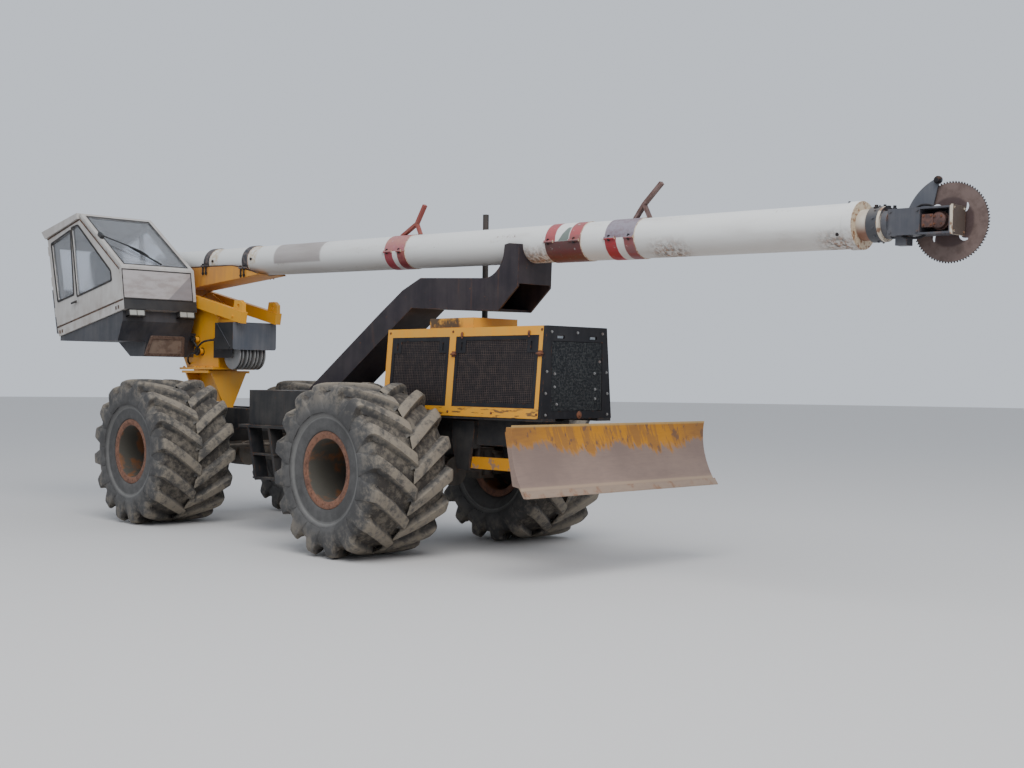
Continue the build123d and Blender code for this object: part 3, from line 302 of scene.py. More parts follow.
# Bands and patches along the boom, by their distance ahead of the front axle
frontAxleX = 0.415
boomLook = {
    "drop": radians(1.323), "axisHeight": 3.051,  # at the front axle
    # grime is the tone of the dirt streaks and also of the painted shade on the downward faces
    "white": (0.70, 0.70, 0.68), "grime": (0.40, 0.35, 0.31), "cream": (0.58, 0.47, 0.33),
    "rust": (0.24, 0.105, 0.045),
    "patch": (-2.907, -1.990), "patchTone": (0.30, 0.26, 0.245), "stencil": (1.745, 1.885),
    "stencilTone": (0.155, 0.185, 0.165),
    # each band: its span, whether it is on the upper half, its tone and its worn tone
    "bands": [((-0.819, -0.481), 1, (0.42, 0.185, 0.150), (0.36, 0.125, 0.140)),
              ((1.579, 1.714), 1, (0.38, 0.080, 0.085), (0.30, 0.075, 0.080)),
              ((1.892, 2.031), 1, (0.38, 0.080, 0.085), (0.26, 0.095, 0.090)),
              ((2.329, 2.672), 1, (0.25, 0.225, 0.265), (0.19, 0.135, 0.160)),
              ((-0.819, -0.687), 0, (0.30, 0.032, 0.050), (0.24, 0.055, 0.050)),
              ((-0.612, -0.481), 0, (0.20, 0.028, 0.034), (0.26, 0.070, 0.055)),
              ((1.579, 2.031), 0, (0.120, 0.026, 0.028), (0.085, 0.032, 0.030)),
              ((2.329, 2.465), 0, (0.34, 0.022, 0.030), (0.26, 0.028, 0.034)),
              ((2.554, 2.672), 0, (0.20, 0.090, 0.095), (0.24, 0.060, 0.060))],
    "creamSpots": [(-4.300, -4.150), (-3.440, -3.290)],
    "rustSpots": [(1.15, 1.62), (2.85, 3.20), (4.55, 4.836)], }


def boomPaint(look):
    finish = Finish("boomPaint")
    wander = (finish.noise(16, 4) - 0.5) * 0.016
    along = finish.x - frontAxleX + wander
    height = finish.z - look["axisHeight"] + (finish.x - frontAxleX) * tan(look["drop"])
    broad = finish.noise(1.3, 6, stretch=(0.6, 1, 1))
    streak = finish.noise(8, 6, stretch=(0.16, 1, 1), shift=4)
    chips = finish.noise(26, 9, rough=0.70, shift=8)
    below = (0 - finish.facing[2]).ramp(-0.1, 0.95)
    shade = finish.mix((broad * 0.55 + streak * 0.5).ramp(0.52, 0.78) * 0.6, look["white"], look["grime"])
    # downward faces darkened with the grime tone: painted shade on the tube's underside
    shade = finish.mix(below * (0.35 + broad * 0.4), shade, look["grime"])

    def within(span, soft=0.005):
        return along.ramp(span[0] - soft, span[0] + soft) * (1 - along.ramp(span[1] - soft, span[1] + soft))

    patch = within(look["patch"], 0.02) * (height + 0.060).ramp(-0.01, 0.01)
    shade = finish.mix(patch * (0.60 + 0.45 * streak), shade, look["patchTone"])
    upper = (height + wander).ramp(-0.004, 0.004)
    for span, onTop, tone, worn in look["bands"]:
        share = within(span) * (upper if onTop else 1 - upper) * (1 - chips.ramp(0.61, 0.68) * 0.5)
        shade = finish.mix(share, shade, finish.mix((streak * 0.5 + chips * 0.5).ramp(0.42, 0.60), tone,
                                                    worn))
    slant = (along - height * 0.75).ramp(look["stencil"][0], look["stencil"][0] + 0.012)
    stencil = slant * within(look["stencil"]) * upper
    shade = finish.mix(stencil * (1 - height.ramp(0.125, 0.130)), shade, look["stencilTone"])
    for span in look["creamSpots"]:
        spot = within(span, 0.03) * height.ramp(-0.10, 0.0) * chips.ramp(0.40, 0.56)
        shade = finish.mix(spot, shade, look["cream"])
    end = finish.facing[0].ramp(0.60, 0.75)
    shade = finish.mix(end, shade, finish.mix(chips.ramp(0.45, 0.60), look["cream"], look["rust"]))
    spots = (chips * 0.6 + streak * 0.4).ramp(0.60, 0.68)
    for span in look["rustSpots"]:
        spots = spots.most(within(span, 0.12) * below * chips.ramp(0.42, 0.56))
    soil = finish.mix(finish.noise(31, 4, shift=14).ramp(0.42, 0.58), look["rust"], (0.060, 0.045, 0.034))
    shade = finish.mix(spots * 0.85, shade, soil)
    finish.bump(spots * 0.4 + broad * 0.4 + chips * 0.08, 0.25, 0.004)
    return finish.colour(shade, (0.40 + spots * 0.35 + streak * 0.15).least(0.95))


# The mouldboard's yellow paint is left at the top, with scratches through it; below it is smooth worn steel
bladeLook = {"top": 1.34, "edge": 0.734, "paint": (0.60, 0.255, 0.008), "steel": (0.215, 0.150, 0.125),
             "scar": (0.20, 0.100, 0.048),
             "bright": (0.46, 0.34, 0.23), "tan": (0.36, 0.255, 0.185)}


def bladeSteel(look):
    finish = Finish("bladeSteel", 0.2)
    high = (finish.z - look["edge"]) / (look["top"] - look["edge"])
    slant = finish.join(finish.x, finish.y + finish.z * 0.45, finish.z)
    drawn = finish.add("Mapping", {}, {"Vector": slant, "Scale": (0.4, 2.6, 0.6)})
    scratch = finish.add("TexNoise", {}, {"Vector": drawn, "Scale": 5, "Detail": 8, "Roughness": 0.66})
    broad = finish.noise(1.7, 4, shift=6)
    fine = finish.noise(55, 5, stretch=(1, 0.15, 1))
    chipsOff = finish.noise(12, 6, shift=9).ramp(0.54, 0.62)
    steel = finish.mix((broad * 0.7 + fine * 0.3).ramp(0.35, 0.70), look["steel"], (0.285, 0.200, 0.160))
    # a bright band just above the cutting edge: painted highlight
    line = (high.ramp(0.090, 0.105) * (1 - high.ramp(0.125, 0.150))) * 0.7
    steel = finish.mix(line, steel, look["bright"])
    steel = finish.mix((1 - high.ramp(0.08, 0.20)) * 0.6, steel, look["tan"])
    ends = finish.y.size().ramp(0.70, 1.25)
    reach = high + (broad - 0.5) * 0.45 + (scratch - 0.5) * 0.60 - ends * 0.06
    torn = (scratch.ramp(0.44, 0.54) * (0.65 + chipsOff)).most(ends * (0.45 + fine * 0.6))
    scars = torn * reach.ramp(0.60, 0.72)
    shade = finish.mix(reach.ramp(0.60, 0.70), steel, finish.mix(fine, look["paint"], (0.50, 0.20, 0.010)))
    shade = finish.mix(scars * 0.85, shade, look["scar"])
    arms = (1 - finish.x.ramp(2.60, 2.62)) * (1 - chipsOff * 0.8)
    shade = finish.mix(arms, shade, look["paint"])
    rim = high.ramp(0.955, 0.985)
    shade = finish.mix(rim * 0.7, shade, (0.55, 0.38, 0.16))
    finish.bump(scratch * 0.5 + broad * 0.3, 0.3, 0.004)
    return finish.colour(shade, 0.58 + fine * 0.15)


def bareSteel(name, tone, dark, roughness, metallic=0.85):
    finish = Finish(name, metallic)
    fine = finish.noise(45, 6, stretch=(1, 0.2, 1))
    rust = finish.noise(9, 7, shift=4).ramp(0.52, 0.70)
    shade = finish.mix(fine, tone, dark)
    shade = finish.mix(rust * 0.55, shade, rustTones["light"])
    finish.bump(fine, 0.15, 0.002)
    return finish.colour(shade, roughness + rust * 0.3)


# The disc's outer ring is polished paler by the cut; the teeth are dark
sawLook = {"centre": (5.9027, 2.9243), "outer": (0.160, 0.112, 0.098), "inner": (0.078, 0.049, 0.047),
           "tooth": (0.045, 0.033, 0.032), "innerRadius": 0.185, "toothRadius": 0.292}


def sawSteel(look):
    finish = Finish("sawSteel", 0.25)
    x, z = finish.x - look["centre"][0], finish.z - look["centre"][1]
    radius = (x * x + z * z) ** 0.5
    blotch = finish.noise(14, 7, rough=0.65)
    wobble = (finish.noise(6, 4, shift=3) - 0.5) * 0.02
    shade = finish.mix((radius + wobble).ramp(look["innerRadius"] - 0.012, look["innerRadius"] + 0.012),
                       look["inner"], look["outer"])
    shade = finish.mix(blotch.ramp(0.40, 0.66) * 0.45, shade, (0.060, 0.036, 0.030))
    shade = finish.mix(radius.ramp(look["toothRadius"] - 0.003, look["toothRadius"] + 0.002), shade,
                       look["tooth"])
    finish.bump(blotch, 0.2, 0.002)
    return finish.colour(shade, 0.50 + blotch * 0.2)


def tintedGlass():
    finish = Finish("cabGlassTint")
    finish.shader.inputs["Transmission Weight"].default_value = 0.93
    finish.shader.inputs["IOR"].default_value = 1.45
    dust = finish.noise(4, 6, stretch=(1, 1, 0.5)).ramp(0.35, 0.8)
    shade = finish.mix(dust * 0.5, (0.78, 0.80, 0.84), (0.70, 0.69, 0.68))
    return finish.colour(shade, 0.05 + dust * 0.22)


def cloudedPane():  # the low front pane is scratched and clouded; its darker corner is a painted reflection
    finish = Finish("cloudedPane")
    smear = finish.noise(9, 6, stretch=(1, 0.5, 1.6))
    fine = finish.noise(60, 4, shift=5)
    shade = finish.mix((smear * 0.8 + fine * 0.2).ramp(0.40, 0.62), (0.44, 0.405, 0.40), (0.34, 0.30, 0.285))
    # a darker triangle in one corner: painted reflection
    corner = ((finish.y + 0.707) * 0.93 - finish.z + 2.663).ramp(0.0, 0.02)
    return finish.colour(finish.mix(corner * 0.75, shade, (0.20, 0.185, 0.195)), 0.30 + fine * 0.2)


def seatVinyl():
    finish = Finish("seatVinyl")
    grain = finish.add("TexVoronoi", {}, {"Vector": finish.place, "Scale": 160})
    worn = finish.noise(6, 5).ramp(0.5, 0.75)
    finish.bump(grain, 0.25, 0.002)
    return finish.colour(finish.mix(worn, (0.02, 0.02, 0.022), (0.05, 0.048, 0.045)), 0.5 + worn * 0.2)


def lampLens():
    finish = Finish("lampLens")
    ribs = finish.add("TexWave", {"wave_type": "BANDS", "bands_direction": "Y"},
                      {"Vector": finish.place, "Scale": 30})
    finish.bump(ribs, 0.4, 0.003)
    return finish.colour(finish.mix(ribs, (0.36, 0.37, 0.36), (0.50, 0.49, 0.42)), 0.15)


def plainCoat(name, tone, worn, roughness, scale=17):  # a small fitting's coat: two blended tones
    finish = Finish(name)
    patch = finish.noise(scale, 6, rough=0.62)
    grain = finish.noise(90, 3, shift=6)
    finish.bump(grain * 0.5 + patch, 0.2, 0.002)
    return finish.colour(finish.mix(patch.ramp(0.42, 0.62), tone, worn),
                         (roughness + grain * 0.12).least(0.95))


def hubRadius(finish):  # the distance from the nearer axle
    ahead = finish.x.ramp(-1.50, -1.48)
    rear, front = wheelHubs["rear_right"].x, wheelHubs["front_right"].x
    x = finish.x - (rear + ahead * (front - rear))
    z = finish.z - wheelHubs["rear_right"].z
    return (x * x + z * z) ** 0.5


# Salmon rust on the bolted ring; inside it the barrel and the dish are darker, with rust patches
rimLook = {"ring": (0.215, 0.100, 0.060), "ringDark": (0.125, 0.058, 0.038), "barrel": (0.078, 0.071, 0.057),
           "patch": (0.20, 0.085, 0.035), "ringInner": 0.304}


def rimSteel(look):
    finish = Finish("rimRust")
    radius = hubRadius(finish)
    blotch = finish.noise(9, 7, rough=0.65)
    fine = finish.noise(48, 5, shift=3)
    ring = finish.mix((blotch * 0.6 + fine * 0.4).ramp(0.42, 0.60), look["ring"], look["ringDark"])
    deep = finish.mix(finish.noise(3.6, 6, shift=12).ramp(0.50, 0.60), look["barrel"], look["patch"])
    shade = finish.mix(radius.ramp(look["ringInner"] - 0.004, look["ringInner"]), deep, ring)
    finish.bump(blotch * 0.6 + fine * 0.3, 0.35, 0.003)
    return finish.colour(shade, 0.72 + fine * 0.15)


# Sidewalls are worn smooth and grey; dry tan mud is left on the tops of the lugs; the tread between the lugs
# is darkened as painted shade
tyreLook = {"rubber": (0.052, 0.050, 0.049), "bloom": (0.098, 0.095, 0.092), "mud": (0.225, 0.195, 0.150),
            "floor": (0.045, 0.037, 0.030),
            "ring": (0.27, 0.265, 0.25), "ringRadius": 0.502, "crestRadius": 0.84}


def tyreRubber(look):
    finish = Finish("tyreRubber")
    radius = hubRadius(finish)
    broad = finish.noise(2.2, 5)
    fine = finish.noise(60, 6, rough=0.7)
    cracks = finish.noise(13, 8, rough=0.72, shift=5)
    shade = finish.mix((broad * 0.6 + cracks * 0.4).ramp(0.38, 0.66), look["rubber"], look["bloom"])
    ring = radius.ramp(look["ringRadius"] - 0.014, look["ringRadius"] + 0.004)
    ring = ring * (1 - radius.ramp(0.512, 0.548))
    shade = finish.mix(ring * (0.10 + broad * 0.55), shade, look["ring"])
    tread = 1 - finish.facing[1].size().ramp(0.3, 0.7)
    # the tread between the lugs darkened with the floor tone: painted shade
    between = tread * radius.ramp(0.70, 0.75) * (1 - radius.ramp(0.785, 0.81))
    shade = finish.mix(between * 0.8, shade, look["floor"])
    crest = radius.ramp(look["crestRadius"] - 0.055, look["crestRadius"] - 0.006)
    mud = crest * (0.10 + (cracks * 0.7 + broad * 0.5).ramp(0.48, 0.66) * 0.9)
    mud = mud.most((cracks * 0.7 + broad * 0.4).ramp(0.50, 0.66) * 0.6 * radius.ramp(0.56, 0.74))
    shade = finish.mix(mud, shade, finish.mix(fine, look["mud"], (0.24, 0.20, 0.155)))
    finish.bump(fine * 0.4 + cracks * 0.7, 0.4, 0.005)
    return finish.colour(shade, 0.78 + fine * 0.12)


# The cab floor's front lower corner, and how far the floor is tilted
cabCorner = (-4.076, 2.503)
cabPitch = radians(10)


def cabHeight(finish):  # above the cab floor's underside, square to the tilted floor
    x, z = cabCorner
    return (finish.z - z) * cos(cabPitch) - (finish.x - x) * sin(cabPitch)


def cabShade(finish, shade):  # the floor's front edge is black, and dirt gathers along the sill
    front = finish.facing[0].ramp(0.80, 0.93) * (1 - cabHeight(finish).ramp(0.128, 0.132))
    grime = (1 - cabHeight(finish).ramp(0.12, 0.34)) * finish.noise(6, 5, shift=21).ramp(0.40, 0.66) * 0.5
    return finish.mix(front, finish.mix(grime, shade, (0.30, 0.25, 0.21)), (0.020, 0.020, 0.022))


def hoodShade(finish, shade):  # soot on the top box, dark scrapes along the lower frame
    boxTop = finish.z.ramp(2.228, 2.236) * (1 - finish.x.ramp(0.92, 1.02))
    soot = boxTop * finish.noise(7, 6, shift=15).ramp(0.36, 0.52)
    scratches = finish.noise(13, 7, stretch=(0.5, 1, 2.4), shift=17).ramp(0.53, 0.60)
    scrape = (1 - finish.z.ramp(1.43, 1.47)) * scratches
    shade = finish.mix(soot * 0.92, shade, (0.018, 0.016, 0.014))
    return finish.mix(scrape * 0.85, shade, (0.075, 0.045, 0.025))


def headShade(finish, shade):  # the end plate and a ring behind the box are cream
    along = finish.x - frontAxleX
    cream = along.ramp(5.588, 5.594).most(along.ramp(5.0150, 5.0165) * (1 - along.ramp(5.040, 5.042)))
    worn = finish.noise(15, 6, shift=19).ramp(0.50, 0.60)
    front = finish.facing[0].ramp(0.6, 0.9) * along.ramp(5.588, 5.594)
    shade = finish.mix(cream, shade, finish.mix(worn, (0.56, 0.49, 0.39), (0.22, 0.12, 0.07)))
    return finish.mix(front, shade, (0.085, 0.062, 0.050))


def innerShade(finish, shade):  # dark collar at the head's end, rust running down from it
    along = finish.x - frontAxleX
    below = (0 - finish.facing[2]).ramp(-0.25, 0.8)
    stain = along.ramp(4.825, 4.84) * below * (0.85 + finish.noise(9, 5, shift=23) * 0.6)
    collar = along.ramp(4.9245, 4.9255)
    return finish.mix(collar, finish.mix(stain, shade, (0.200, 0.090, 0.055)), (0.040, 0.043, 0.052))


def deflectorShade(finish, shade):  # the front one has lost its red
    worn = finish.noise(14, 5, shift=27).ramp(0.45, 0.60)
    return finish.mix(finish.x.ramp(2.0, 2.1), shade,
                      finish.mix(worn, (0.105, 0.055, 0.046), (0.165, 0.100, 0.090)))


def guardSideShadow(finish, shade):  # the drum guard's sides are open: they are painted near black, painted shade for the dark inside
    side = finish.facing[1].size().ramp(0.6, 0.9) * (1 - finish.x.ramp(-3.14, -3.10))
    return finish.mix(side, shade, (0.012, 0.013, 0.016))


overShades = {"cabWhite": cabShade, "hoodYellow": hoodShade, "headSlate": headShade, "innerWhite": innerShade,
              "guardSlate": guardSideShadow, "deflectorRed": deflectorShade}
# Small fittings' coats: tone, worn tone, roughness, scale of the patches
coats = {
    "netBrown": ((0.050, 0.036, 0.034), (0.090, 0.062, 0.052), 0.6, 17),
    "coverNet": ((0.014, 0.017, 0.022), (0.080, 0.084, 0.084), 0.6, 60),
    # near black, rough: painted shade behind the cover's net
    "coverShadeSheet": ((0.004, 0.004, 0.005), (0.008, 0.008, 0.009), 0.9, 17),
    "slotPale": ((0.62, 0.66, 0.70), (0.52, 0.56, 0.60), 0.6, 17),
    "latchRust": ((0.17, 0.062, 0.028), (0.085, 0.034, 0.020), 0.75, 17),
    "motorRust": ((0.120, 0.058, 0.045), (0.060, 0.032, 0.028), 0.65, 17),
    "hoseBlack": ((0.010, 0.010, 0.011), (0.026, 0.025, 0.025), 0.42, 17),
    "sealBlack": ((0.014, 0.013, 0.014), (0.050, 0.040, 0.034), 0.62, 17),
    "seamBrown": ((0.045, 0.026, 0.018), (0.130, 0.066, 0.036), 0.7, 17),
    "hatchRust": ((0.150, 0.095, 0.070), (0.085, 0.052, 0.040), 0.75, 40),
    "hatchTan": ((0.230, 0.165, 0.125), (0.150, 0.100, 0.076), 0.75, 9),
    "strapIron": ((0.040, 0.040, 0.046), (0.135, 0.105, 0.095), 0.55, 17),
}
# Bare steels: tone, darker tone, roughness, metallic
steels = {
    "boltBright": ((0.34, 0.34, 0.34), (0.20, 0.19, 0.18), 0.40, 0.5),
    "edgeSteel": ((0.36, 0.26, 0.185), (0.25, 0.18, 0.14), 0.50, 0.2),
    "rodChrome": ((0.62, 0.62, 0.62), (0.45, 0.43, 0.40), 0.12, 1.0),
}
finishes = {
    "boomPaint": boomPaint(boomLook), "bladeSteel": bladeSteel(bladeLook), "sawSteel": sawSteel(sawLook),
    "rimRust": rimSteel(rimLook), "tyreRubber": tyreRubber(tyreLook), "cabGlassTint": tintedGlass(),
    "cloudedPane": cloudedPane(), "seatVinyl": seatVinyl(), "lampLens": lampLens(),
}
finishes.update({name: paintedSteel(name, look, overShades.get(name)) for name, look in paints.items()})
finishes.update({name: plainCoat(name, *look) for name, look in coats.items()})
finishes.update({name: bareSteel(name, *look) for name, look in steels.items()})
finishOfSlot = {
    "frame_black": "frameBlack", "axle_iron": "axleIron", "hood_yellow": "hoodYellow",
    "mesh_black": "meshBlack", "engine_iron": "engineIron", "exhaust_rust": "exhaustSoot",
    "rest_black": "restBlack", "tank_black": "frameBlack", "turret_yellow": "turretYellow",
    "cradle_tan": "cradleTan", "boom_white": "boomPaint", "inner_white": "innerWhite",
    "deflector_red": "deflectorRed", "head_slate": "headSlate", "saw_rust": "sawSteel",
    "guard_slate": "guardSlate", "cab_white": "cabWhite", "cab_dark": "cabDark", "cab_glass": "cabGlassTint",
    "seat_black": "seatVinyl", "lamp_clear": "lampLens", "drum_grey": "drumGrey",
    "cylinder_black": "cylinderBlack", "rod_chrome": "rodChrome", "blade_steel": "bladeSteel",
    "edge_steel": "edgeSteel", "rim_rust": "rimRust", "tyre": "tyreRubber", }
for part in frame["record"]["subparts"]:
    node = nodes[part["node"]]
    finish = finishes[finishOfSlot[part["material_slot"]]]
    if not node.material_slots:
        node.data.materials.append(finish)
    for slot in node.material_slots:
        slot.material = finish
print("finishes ready:", len(finishes))


def smoothed(mesh):  # soft shading, broken where faces meet at a sharp angle
    mesh.shade_smooth()
    mesh.set_sharp_from_angle(angle=radians(38))
    return mesh


def turns(count, start=0.0):  # evenly spaced angles all round
    return [2 * pi * (index + start) / count for index in range(count)]


def circle(radius, count, centre=(0, 0)):
    return [(centre[0] + radius * cos(turn), centre[1] + radius * sin(turn)) for turn in turns(count)]


class Form:  # a mesh under construction, in the frame's own metres
    def __init__(self):
        self.build = bmesh.new()

    def loft(self, loops):  # a skin from loop to loop, with both ends closed
        rings = [[self.build.verts.new(point) for point in loop] for loop in loops]
        for first, second in zip(rings, rings[1:]):
            for index in range(len(first)):
                following = (index + 1) % len(first)
                self.build.faces.new((first[index], first[following], second[following], second[index]))
        self.build.faces.new(rings[0][::-1])
        self.build.faces.new(rings[-1])
        return rings

    def block(self, low, high, bevel=0.0, turn=None, about=(0, 0, 0)):
        made = bmesh.ops.create_cube(self.build, size=1)["verts"]
        low, high = Vector(low), Vector(high)
        for vert in made:
            vert.co = Vector([a + (b - a) * (value + 0.5) for a, b, value in zip(low, high, vert.co)])
        if bevel:
            edges = list({edge for vert in made for edge in vert.link_edges})
            made = bmesh.ops.bevel(self.build, geom=edges, offset=bevel, segments=2, affect="EDGES",
                                   profile=0.6)["verts"]
        if turn is not None:
            for vert in made:
                vert.co = turn @ (vert.co - Vector(about)) + Vector(about)

    def lathe(self, centre, axis, profile, steps=64, closed=False):  # profile: (along the axis, radius)
        axis = Vector(axis).normalized()
        side = axis.orthogonal().normalized()
        across = axis.cross(side)
        loops = []
        for angle in turns(steps):
            outwards = side * cos(angle) + across * sin(angle)
            loops.append([Vector(centre) + axis * along + outwards * radius for along, radius in profile])
        rings = [[self.build.verts.new(point) for point in loop] for loop in loops]
        count = len(profile)
        for first, second in zip(rings, rings[1:] + rings[:1]):
            for index in range(count if closed else count - 1):
                following = (index + 1) % count
                self.build.faces.new((first[index], second[index], second[following], first[following]))

    def plate(self, outline, thickness, bevel=0.0):  # a flat outline pushed along a vector
        first = [Vector(point) for point in outline]
        second = [point + Vector(thickness) for point in first]
        rings = self.loft([first, second])
        if bevel:
            edges = [edge for vert in rings[0] + rings[1] for edge in vert.link_edges]
            bmesh.ops.bevel(self.build, geom=list(set(edges)), offset=bevel, segments=2, affect="EDGES",
                            profile=0.6)

    def mesh(self, name, smooth=False):
        bmesh.ops.remove_doubles(self.build, verts=self.build.verts, dist=1e-5)
        bmesh.ops.recalc_face_normals(self.build, faces=self.build.faces)
        made = bpy.data.meshes.new(name)
        self.build.to_mesh(made)
        self.build.free()
        return smoothed(made) if smooth else made


def place(name, mesh, body, slot, finish=None, replaced=()):
    piece = bpy.data.objects.new(name, mesh)
    bpy.context.scene.collection.objects.link(piece)
    mesh.materials.clear()
    mesh.materials.append(finishes[finish or finishOfSlot[slot]])
    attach(piece, body)
    if replaced:
        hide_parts(*replaced)
    return piece


class Grower:  # one Geometry Nodes tree: what it grows comes back as a plain mesh
    def __init__(self, name, inputs):
        self.tree = bpy.data.node_groups.new(name, "GeometryNodeTree")
        face = self.tree.interface
        face.new_socket("Seed", in_out="INPUT", socket_type="NodeSocketGeometry")
        face.new_socket("Grown", in_out="OUTPUT", socket_type="NodeSocketGeometry")
        self.keys = {label: face.new_socket(label, in_out="INPUT", socket_type="NodeSocket" + kind).identifier
                     for label, kind in inputs.items()}
        self.entry = self.tree.nodes.new("NodeGroupInput")
        self.seed = self.entry.outputs["Seed"]

    def given(self, label):
        return self.entry.outputs[label]

    def add(self, kind, settings, values, out=0):
        node = self.tree.nodes.new(kind)
        for key, value in settings.items():
            setattr(node, key, value)
        for key, value in values.items():
            if isinstance(value, bpy.types.NodeSocket):
                self.tree.links.new(value, node.inputs[key])
            else:
                node.inputs[key].default_value = value
        return node.outputs[out]

    def maths(self, operation, first, second):
        return self.add("ShaderNodeMath", {"operation": operation}, {0: first, 1: second})

    def copies(self):  # the seed as often as "Count" says, and each copy's number
        one = self.add("GeometryNodeGeometryToInstance", {}, {"Geometry": self.seed})
        node = self.tree.nodes.new("GeometryNodeDuplicateElements")
        node.domain = "INSTANCE"
        self.tree.links.new(one, node.inputs["Geometry"])
        self.tree.links.new(self.given("Count"), node.inputs["Amount"])
        return node.outputs["Geometry"], node.outputs["Duplicate Index"]

    def done(self, grown):
        real = self.add("GeometryNodeRealizeInstances", {}, {"Geometry": grown})
        dressed = self.add("GeometryNodeSetMaterial", {},
                           {"Geometry": real, "Material": self.given("Finish")})
        self.tree.links.new(dressed, self.tree.nodes.new("NodeGroupOutput").inputs[0])
        return self

    def grow(self, name, mesh, finish, **values):
        seed = bpy.data.objects.new(name, mesh)
        bpy.context.scene.collection.objects.link(seed)
        modifier = seed.modifiers.new("grow", "NODES")
        modifier.node_group = self.tree
        modifier[self.keys["Finish"]] = finishes[finish]
        for label, value in values.items():
            modifier[self.keys[label]] = value
        graph = bpy.context.evaluated_depsgraph_get()
        made = bpy.data.meshes.new_from_object(seed.evaluated_get(graph))
        seed.modifiers.remove(modifier)
        bpy.data.objects.remove(seed)
        made.name = name
        return made


def roundTree():  # copies turned evenly round an axle
    tree = Grower("repeatAround", {"Count": "Int", "Centre": "Vector", "Axle": "Vector",
                                   "Finish": "Material"})
    copies, number = tree.copies()
    step = tree.maths("DIVIDE", 2 * pi, tree.given("Count"))
    angle = tree.maths("MULTIPLY", number, step)
    turn = tree.add("FunctionNodeAxisAngleToRotation", {}, {"Axis": tree.given("Axle"), "Angle": angle})
    turned = tree.add("GeometryNodeRotateInstances", {}, {"Instances": copies, "Rotation": turn,
                                                          "Pivot Point": tree.given("Centre"),
                                                          "Local Space": False})
    return tree.done(turned)


def rowTree():  # copies in a row, a step apart
    tree = Grower("repeatAlong", {"Count": "Int", "Step": "Vector", "Finish": "Material"})
    copies, number = tree.copies()
    away = tree.add("ShaderNodeVectorMath", {"operation": "SCALE"}, {0: tree.given("Step"), "Scale": number})
    moved = tree.add("GeometryNodeTranslateInstances", {}, {"Instances": copies, "Translation": away,
                                                            "Local Space": False})
    return tree.done(moved)


def boltTree():  # a hexagon head on a washer at each point, along the point's "facing"
    tree = Grower("boltHeads", {"Size": "Float", "Height": "Float", "Finish": "Material"})
    head = tree.add("GeometryNodeMeshCylinder", {"fill_type": "NGON"},
                    {"Vertices": 6, "Radius": tree.given("Size"),
                     "Depth": tree.given("Height")})
    raised = tree.add("GeometryNodeTransform", {}, {"Geometry": head, "Translation": tree.add(
        "ShaderNodeCombineXYZ", {}, {2: tree.maths("MULTIPLY", tree.given("Height"), 0.75)})})
    washer = tree.add("GeometryNodeMeshCylinder", {"fill_type": "NGON"}, {"Vertices": 14,
                      "Radius": tree.maths("MULTIPLY", tree.given("Size"), 1.45),
                      "Depth": tree.maths("MULTIPLY", tree.given("Height"), 0.5)})
    both = tree.tree.nodes.new("GeometryNodeJoinGeometry")
    tree.tree.links.new(raised, both.inputs[0])
    tree.tree.links.new(washer, both.inputs[0])
    facing = tree.add("GeometryNodeInputNamedAttribute", {"data_type": "FLOAT_VECTOR"}, {"Name": "facing"})
    turn = tree.add("FunctionNodeAlignRotationToVector", {"axis": "Z"}, {"Vector": facing})
    spread = tree.add("GeometryNodeInstanceOnPoints", {}, {"Points": tree.seed, "Instance": both.outputs[0],
                      "Rotation": turn})
    return tree.done(spread)


def lineTree():  # a round line along a path of edges, through its points
    tree = Grower("roundLine", {"Radius": "Float", "Sides": "Int", "Smooth": "Int", "Finish": "Material"})
    path = tree.add("GeometryNodeMeshToCurve", {}, {"Mesh": tree.seed})
    path = tree.add("GeometryNodeCurveSplineType", {"spline_type": "CATMULL_ROM"}, {"Curve": path})
    path = tree.add("GeometryNodeSetSplineResolution", {},
                    {"Geometry": path, "Resolution": tree.given("Smooth")})
    ring = tree.add("GeometryNodeCurvePrimitiveCircle", {},
                    {"Resolution": tree.given("Sides"), "Radius": tree.given("Radius")})
    tube = tree.add("GeometryNodeCurveToMesh", {}, {"Curve": path, "Profile Curve": ring, "Fill Caps": True})
    return tree.done(tree.add("GeometryNodeSetShadeSmooth", {}, {"Geometry": tube}))


repeatAround, repeatAlong, boltHeads, roundLine = roundTree(), rowTree(), boltTree(), lineTree()


def joined(name, parts, smooth=False):  # several meshes of one finish made one
    build = bmesh.new()
    for part in parts:
        build.from_mesh(part)
    made = bpy.data.meshes.new(name)
    build.to_mesh(made)
    build.free()
    return smoothed(made) if smooth else made


def bolts(name, spots, size, height, finish):  # spots: (place, facing)
    points = bpy.data.meshes.new(name)
    points.from_pydata([spot for spot, facing in spots], [], [])
    stored = points.attributes.new("facing", "FLOAT_VECTOR", "POINT")
    for item, (spot, facing) in zip(stored.data, spots):
        item.vector = Vector(facing).normalized()
    return boltHeads.grow(name, points, finish, Size=size, Height=height)


def line(name, paths, radius, finish, sides=10, smooth=8):  # round lines through each path's points
    points, edges = [], []
    for path in paths:
        edges += [(len(points) + index, len(points) + index + 1) for index in range(len(path) - 1)]
        points += [Vector(point) for point in path]
    mesh = bpy.data.meshes.new(name)
    mesh.from_pydata(points, edges, [])
    return roundLine.grow(name, mesh, finish, Radius=radius, Sides=sides, Smooth=smooth)


def placeForm(name, form, body, slot, finish=None, smooth=True, replaced=()):
    return place(name, form.mesh(name, smooth), body, slot, finish, replaced)


def placeBolts(name, spots, size, height, body, slot, finish=None):
    return place(name, bolts(name, spots, size, height, finish or finishOfSlot[slot]), body, slot, finish)


print("makers ready")

